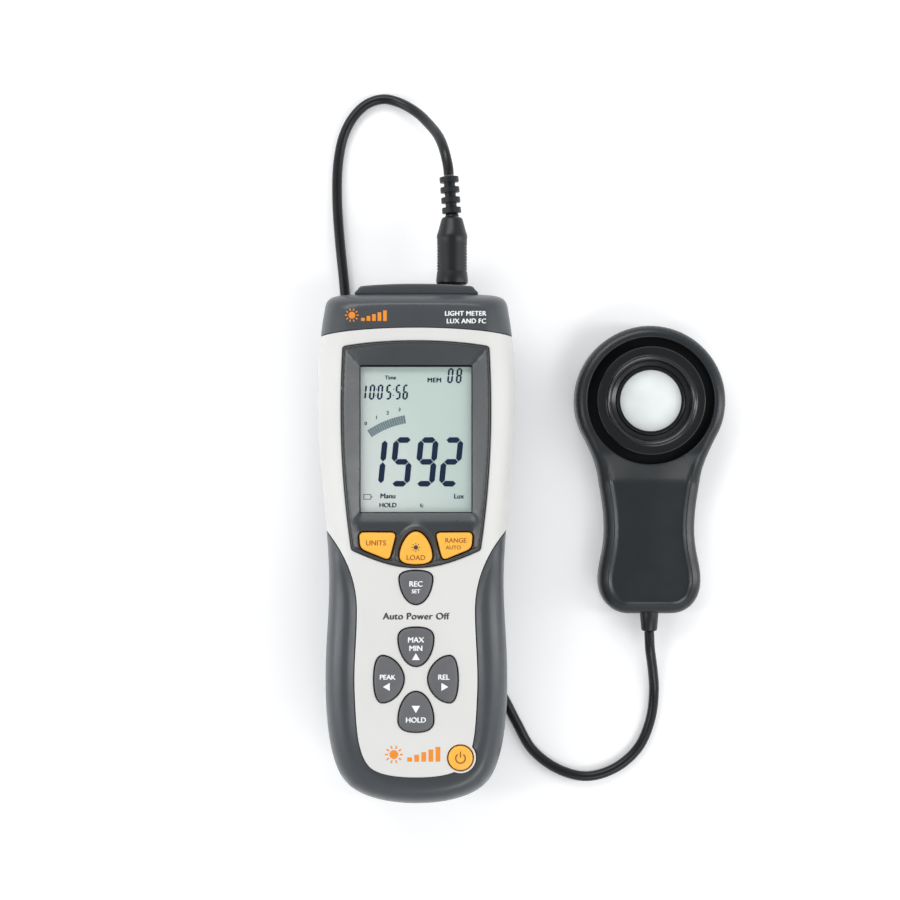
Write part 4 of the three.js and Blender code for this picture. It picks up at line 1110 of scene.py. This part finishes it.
def bend_relief():
    """Four flat-sided ribs on a core, leaning a little towards the lead."""
    core, rib = 1.95, 3.75
    profile = [(0, 0), (2.75, 0), (2.75, 0.35)]
    for k in range(4):
        y = k * RIB_PITCH + 1.3
        profile += [(core + 0.25, y), (rib - 0.2, y + 0.03), (rib, y + 0.2), (rib, y + 2.1),
                    (rib - 0.2, y + 2.3), (core + 0.25, y + 2.33)]
    profile += [(2.3, 3 * RIB_PITCH + 3.75), (2.1, 4 * RIB_PITCH), (0, 4 * RIB_PITCH)]
    piece = lathe("bend_relief", profile, (0, 0, 0), "Y", PLUG_RUBBER)
    piece.data.transform(Matrix.Translation(Vector(behind_plug(0)) * MM) @ Matrix.Rotation(LEAN, 4, "Z"))
    stands_for(piece, "sensor_and_lead", "cord", "plug_relief")
    return piece


# ---- the lead ----
FLOOR = 2.02        # the height of the lead's middle where it lies on the floor
CORD_D = 4.0
ROUTE = [
    (11, 152.5, 25.4), (8.8, 159, 20.2), (5, 165, 13), (-0.6, 171.2, 6.4), (-7.2, 175.4, 2.9),
    *((x, y, FLOOR) for x, y in (
        (-13.4, 177), (-19.6, 175.4), (-25, 170.8), (-29.4, 163), (-31.8, 152), (-32.3, 137.4),
        (-31.2, 120), (-29.4, 102), (-28.2, 85), (-27.9, 60), (-27.9, 30), (-27.8, 8), (-25.6, -8),
        (-18.5, -21), (-6, -32.5), (9, -42.5), (23, -51.5), (33, -61), (39.4, -72.6), (46, -84),
        (56, -91.6), (67.6, -94.7), (79, -91.5), (88.4, -83.4), (93.4, -72))),
    (94.8, -60.2, 2.6), (94, -51, 4.8), (92.8, -43, 7.3),
]


def smooth_route(points, steps=12):
    """A centripetal Catmull-Rom curve through the points."""
    points = np.array(points, float)
    points = np.vstack([2 * points[0] - points[1], points, 2 * points[-1] - points[-2]])
    line = []
    for p0, p1, p2, p3 in zip(points, points[1:], points[2:], points[3:]):
        d0, d1, d2 = (math.sqrt(np.linalg.norm(b - a)) for a, b in ((p0, p1), (p1, p2), (p2, p3)))
        m1 = ((p1 - p0) / d0 - (p2 - p0) / (d0 + d1) + (p2 - p1) / d1) * d1
        m2 = ((p2 - p1) / d1 - (p3 - p1) / (d1 + d2) + (p3 - p2) / d2) * d1
        for t in np.linspace(0, 1, steps, endpoint=False):
            line.append((2 * t ** 3 - 3 * t ** 2 + 1) * p1 + (t ** 3 - 2 * t ** 2 + t) * m1
                        + (3 * t ** 2 - 2 * t ** 3) * p2 + (t ** 3 - t ** 2) * m2)
    return np.array(line + [points[-2]])


def lead():
    end = box_mm("sensor_strain_relief")
    exit_point = (SENSOR_X, end[0].y - 0.3, (end[0].z + end[1].z) / 2)
    route = [behind_plug(16.3), behind_plug(19)] + [(x + METER_X, y, z) for x, y, z in ROUTE] + [exit_point]
    line = smooth_route(route)[::-1] * MM
    data = bpy.data.curves.new("lead", "CURVE")
    data.dimensions = "3D"
    data.bevel_depth = CORD_D / 2 * MM
    data.bevel_resolution = 5
    data.use_fill_caps = True
    spline = data.splines.new("POLY")
    spline.points.add(len(line) - 1)
    spline.points.foreach_set("co", np.column_stack([line, np.ones(len(line))]).ravel())
    spline.use_smooth = True
    data.materials.append(CORD_RUBBER)
    piece = in_scene("lead", data)
    stands_for(piece, "sensor_and_lead", "cord", "sensor_cord")
    grip, relief = plug(), bend_relief()


# ---- sensor ----
WELL = 25.1
HEAD_Z = box_mm("sensor_top_cover")[1].z
SENSOR_PART = box_mm("sensor_top_cover")[0].z
HANDLE_Z = 13.5
FOLD_Y = -32.5      # where the slope under the head meets the flat handle
EDGE = 3.4          # width of the rounded edge around the sensor
EDGE_DROP = 4.2
LOWER_EDGE = 2.4    # and of the one under it
SENSOR_EDGE = even(SENSOR, 0.9)


def sensor_height(points):
    """The head is higher than the handle. A rounded edge runs round both, and inside it, along the
    handle, a flat panel stands a little proud."""
    y = points[:, 1]
    climb = np.clip(np.sqrt(np.clip(y - FOLD_Y, 0, None) ** 2 + 0.25) - 0.5, 0, 13) / 13
    base = HANDLE_Z + (HEAD_Z - HANDLE_Z) * (climb + (climb > 0.8) * -2.5 * (climb - 0.8) ** 2)
    edge = from_loops(points, [SENSOR_EDGE])
    ridge = 0.55 * np.exp(-((edge - EDGE - 0.2) / 0.75) ** 2)
    panel = 0.5 * smoothstep(edge, EDGE + 1.6, 18) - 0.25 * smoothstep(edge, EDGE + 0.4, EDGE + 1.6)
    return base - EDGE_DROP * roundover(edge, EDGE) + (ridge + panel) * (1 - smoothstep(y, -34, -22))


def inner_rings(insets):
    return [grown(SENSOR_EDGE, -by) for by in insets]


def sensor_covers():
    well = circle((0, 0), WELL, 0.8)
    upper = plate("sensor_upper", [SENSOR_EDGE, well], region([SENSOR_EDGE], [well]), sensor_height,
                  level(SENSOR_PART), SENSOR_CASE, SENSOR_AT, seams=[well], spacing=1.8,
                  extra=inner_rings((0.06, 0.25, 0.6, 1.1, 1.8, 2.6, 3.2, 3.6, 4.0, 4.5, 5.2, 6)))
    ring = [(16.9, 11.2), (WELL - 0.05, 11.2), (WELL - 0.05, 13), (16.9, 13), (16.9, 11.2)]
    # The floor of the groove round the collar, its colour darkened with painted shade.
    floor = lathe("sensor_well", ring, SENSOR_AT, "Z", SHADED_WELL_FLOOR, 128)
    for piece in (upper, floor):
        stands_for(piece, "sensor_and_lead", "sensor_case", "sensor_top_cover")
    holes = [circle((x, -71), 2.7, 0.4) for x in (13, -13)]
    under = plate("sensor_lower", [SENSOR_EDGE] + holes, region([SENSOR_EDGE], holes),
                  lambda p: -LOWER_EDGE * roundover(from_loops(p, [SENSOR_EDGE]), LOWER_EDGE),
                  level(0.3 - SENSOR_PART), SENSOR_CASE, SENSOR_AT, roll=0.3, seams=holes, spacing=3,
                  extra=inner_rings((0.06, 0.25, 0.55, 1.0, 1.5, 2.0, 2.4, 2.8, 3.4)))
    under.data.transform(Matrix.Scale(-1, 4, (0, 0, 1)))
    under.data.flip_normals()
    stands_for(under, "sensor_and_lead", "sensor_case", "sensor_bottom_cover")


def sensor_head():
    low, high = box_mm("sensor_collar")
    under_top = [
        (12.45, 4), (12.6, 3.85), (13.3, 3.8), (13.6, 3.95), (13.9, 4.4), (15.4, 4.0), (15.9, 2.8),
        (16.1, 0.9), (16.3, 0.4), (16.6, 0.1), (16.95, 0), (17.3, 0.15), (17.6, 0.5), (17.8, 0.95),
        (18.3, 1.15), (20.4, 0.95), (21.0, 0.9), (21.35, 1.2), (21.45, 1.6)]
    profile = [(12.45, low.z)] + [(radius, high.z - drop) for radius, drop in under_top]
    profile += [(21.45, 13.3), (16.7, 13.3), (16.7, low.z), (12.45, low.z)]
    collar = lathe("sensor_rings", profile, SENSOR_AT, "Z", COLLAR, 160)
    stands_for(collar, "sensor_and_lead", "sensor_case", "sensor_collar")
    low, high = box_mm("diffuser_dome")
    r, edge = (high.x - low.x) / 2, low.z + 5
    rise = high.z - edge
    ball = (r * r + rise * rise) / (2 * rise)
    reach = math.asin(r / ball)
    cap = [(ball * math.sin(angle), high.z - ball + ball * math.cos(angle))
           for angle in reach * np.linspace(1, 0, 28)]
    dome = lathe("opal_diffuser", [(0, low.z), (r, low.z), (r, edge - 0.15)] + cap, SENSOR_AT, "Z", OPAL, 128)
    stands_for(dome, "sensor_and_lead", "dome", "diffuser_dome")


def sensor_relief():
    low, high = box_mm("sensor_strain_relief")
    profile = [(0, low.y), (2.5, low.y), (2.95, low.y + 0.25), (3.2, low.y + 0.8), (3.65, high.y - 5),
               (3.7, high.y - 1.8), (4.7, high.y - 1.8), (4.7, high.y), (0, high.y)]
    piece = lathe("sensor_bend_relief", profile, (SENSOR_X, 0, (low.z + high.z) / 2), "Y", PLUG_RUBBER, 64)
    stands_for(piece, "sensor_and_lead", "cord", "sensor_strain_relief")


# ---- the back of the meter ----
def loft(name, rings):
    """A closed body through rings of as many points, from the lowest up."""
    points = np.vstack([stacked(loop + METER, [z]) for loop, z in rings])
    return mesh_object(name, points, tube_faces(len(rings[0][0]), len(rings)), BACK_CASE, outwards=True)


def tunnel(profile):
    """A tool right through the meter from side to side, over (y, z) points."""
    points = [(x, y, z) for x in (METER_X - BEYOND, METER_X + BEYOND) for y, z in profile]
    return mesh_object("tool", points, tube_faces(len(profile)), BACK_CASE, outwards=True)


# The case's side below the front pieces: height, and how far it has drawn in.
BACK_SIDE = [(0.4, 17), (0.9, 15.9), (2.4, 13.6), (5.2, 10.4), (8.6, 7.2), (11.8, 4.7), (14.6, 2.9),
             (17.4, 1.5), (20, 0.65), (22, 0.2), (23.7, 0)]
UNDERSIDE = [(14, -5), (14, 0), (4, 10), (-62, 10), (-72, 0), (-72, -5)]
UNDERSIDE_ROOF = [(17, 0), (17, 2), (5, 12.4), (-63, 12.4), (-75, 2), (-75, 0)]


def back_cover():
    """A hollow shell, open at the top, with an arched underside and places for what is fixed to it."""
    def drawn_in(z, d, wall):
        return even(CASE, 1.6) * [1 - (d + wall) / W, 1 - (END_DRAW * d + wall) / E], z

    body = loft("back_shell", [drawn_in(z, d, 0) for z, d in BACK_SIDE])
    hollow = loft("tool", [drawn_in(z, d, WALL) for z, d in [(7.2, 12.4)] + BACK_SIDE[4:-1] + [(25, 0)]])
    cut_away(hollow, [tunnel(UNDERSIDE_ROOF)], 40)
    stand_low, stand_high = box_mm("tilt_stand")
    door_low, door_high = box_mm("battery_door")
    tools = [
        hollow, tunnel(rounded(UNDERSIDE, 3)),
        tool_box(stand_low.x - 0.5, stand_high.x + 0.5, stand_low.y - 3, stand_high.y + 0.5, -1, 5.3, 3),
        tool_box(door_low.x - 0.3, door_high.x + 0.3, door_low.y - 0.3, door_high.y + 0.3, 9,
                 door_high.z + 0.3, 1.5),
        tool_box(door_low.x + 1.3, door_high.x - 1.3, door_low.y + 1.2, door_high.y - 9, 9, 16),
        tool_box(METER_X - 21.6, METER_X + 21.6, 85, 115, 18.1, 30),
        lathe("tool", [(0, -1), (5.9, -1), (5.9, 0.4), (5.3, 1), (5.3, 9.3), (0, 9.3)],
              middle_mm("tripod_nut"), "Z"),
    ]
    for k in range(1, 5):
        for node, r, low, high in (("rubber_foot", 3.9, -1, 2.2), ("case_screw", 2.6, -5, 16)):
            profile = [(0, low), (r, low), (r, high), (0, high)]
            tools.append(lathe("tool", profile, middle_mm(f"{node}_{k}"), "Z"))
    cut_away(body, tools, 32)
    stands_for(body, "meter", "back_case", "back_cover")


def feet():
    for k in range(1, 5):
        low, high = box_mm(f"rubber_foot_{k}")
        r = (high.x - low.x) / 2
        profile = [(0, low.z + 0.25), (r * 0.45, low.z + 0.25), (r * 0.55, low.z), (r - 0.7, low.z),
                   (r - 0.2, low.z + 0.2), (r, low.z + 0.7), (r, high.z), (0, high.z)]
        piece = lathe(f"foot_pad_{k}", profile, (low + high) / 2, "Z", SOFT_RUBBER)
        stands_for(piece, "meter", "cord", f"rubber_foot_{k}")


def tripod_socket():
    low, high = box_mm("tripod_nut")
    profile = [(0, high.z), (4.9, high.z), (4.9, low.z + 0.5), (4.6, low.z), (3.5, low.z), (3.2, low.z + 0.4)]
    for k in range(5):
        z = low.z + 0.7 + k * 1.27
        profile += [(3.2, z), (2.75, z + 0.6), (3.2, z + 1.2)]
    profile += [(3.1, high.z - 1.5), (0, high.z - 1.5)]
    piece = lathe("tripod_insert", profile, (low + high) / 2, "Z", BRASS)
    stands_for(piece, "meter", "brass", "tripod_nut")


# ---- the CAD nodes that stay: their finish, the width their edges are rounded to, and their names ----
KEPT = [
    (WINDOW_CLEAR, 0.2, "display_lens"), (LCD_GLASS, 0.15, "lcd_panel"), (WHITE_PART, 0.2, "backlight_panel"),
    (SOFT_RUBBER, 0.2, "contact_strip_upper contact_strip_lower"), (SOFT_RUBBER, 0.3, "keypad_mat"),
    (SOFT_RUBBER, 0.25, "usb_port_cover"), (BOARD, 0.15, "main_board connector_board sensor_board"),
    (BLACK_PART, 0.1, "photodiode"), (BLACK_PART, 0.15, "processor_chip"),
    (BLACK_PART, 0.4, "buzzer battery_snap"), (BLACK_PART, 0.6, "battery_9v"),
    (BACK_CASE, 0.3, "battery_door"), (BACK_CASE, 0.35, "tilt_stand"),
    (STEEL, 0.12, "usb_socket battery_door_screw case_screw_1 case_screw_2 case_screw_3 case_screw_4"),
    (STEEL, 0.12, "sensor_screw_1 sensor_screw_2"), (STEEL, 0.1, "stand_pin"), (STEEL, 0.15, "plug_contact"),
    (FILTER_GLASS, 0.1, "light_filter"), (RED_WIRE, 0, "battery_lead_red"),
    (CORD_RUBBER, 0, "battery_lead_black"),
]


def finish_kept_nodes():
    """Give each node its finish, weld its split vertices and round its sharp edges."""
    for finish, width, names in KEPT:
        for name in names.split():
            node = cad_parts[name]
            node.data.materials.clear()
            node.data.materials.append(finish)
            if width:
                node.modifiers.new("weld", "WELD").merge_threshold = 0.00001
                bevelled(node, width, 2, 40)


lead()
front_cover()
grip_boot()
top_band()
display_bezel()
for key_name in KEYS:
    key(key_name)
legends()
case_print()
display()
window_border_and_shadow()
connector_cap()
sensor_socket()
sensor_covers()
sensor_head()
sensor_relief()
back_cover()
feet()
tripod_socket()
finish_kept_nodes()
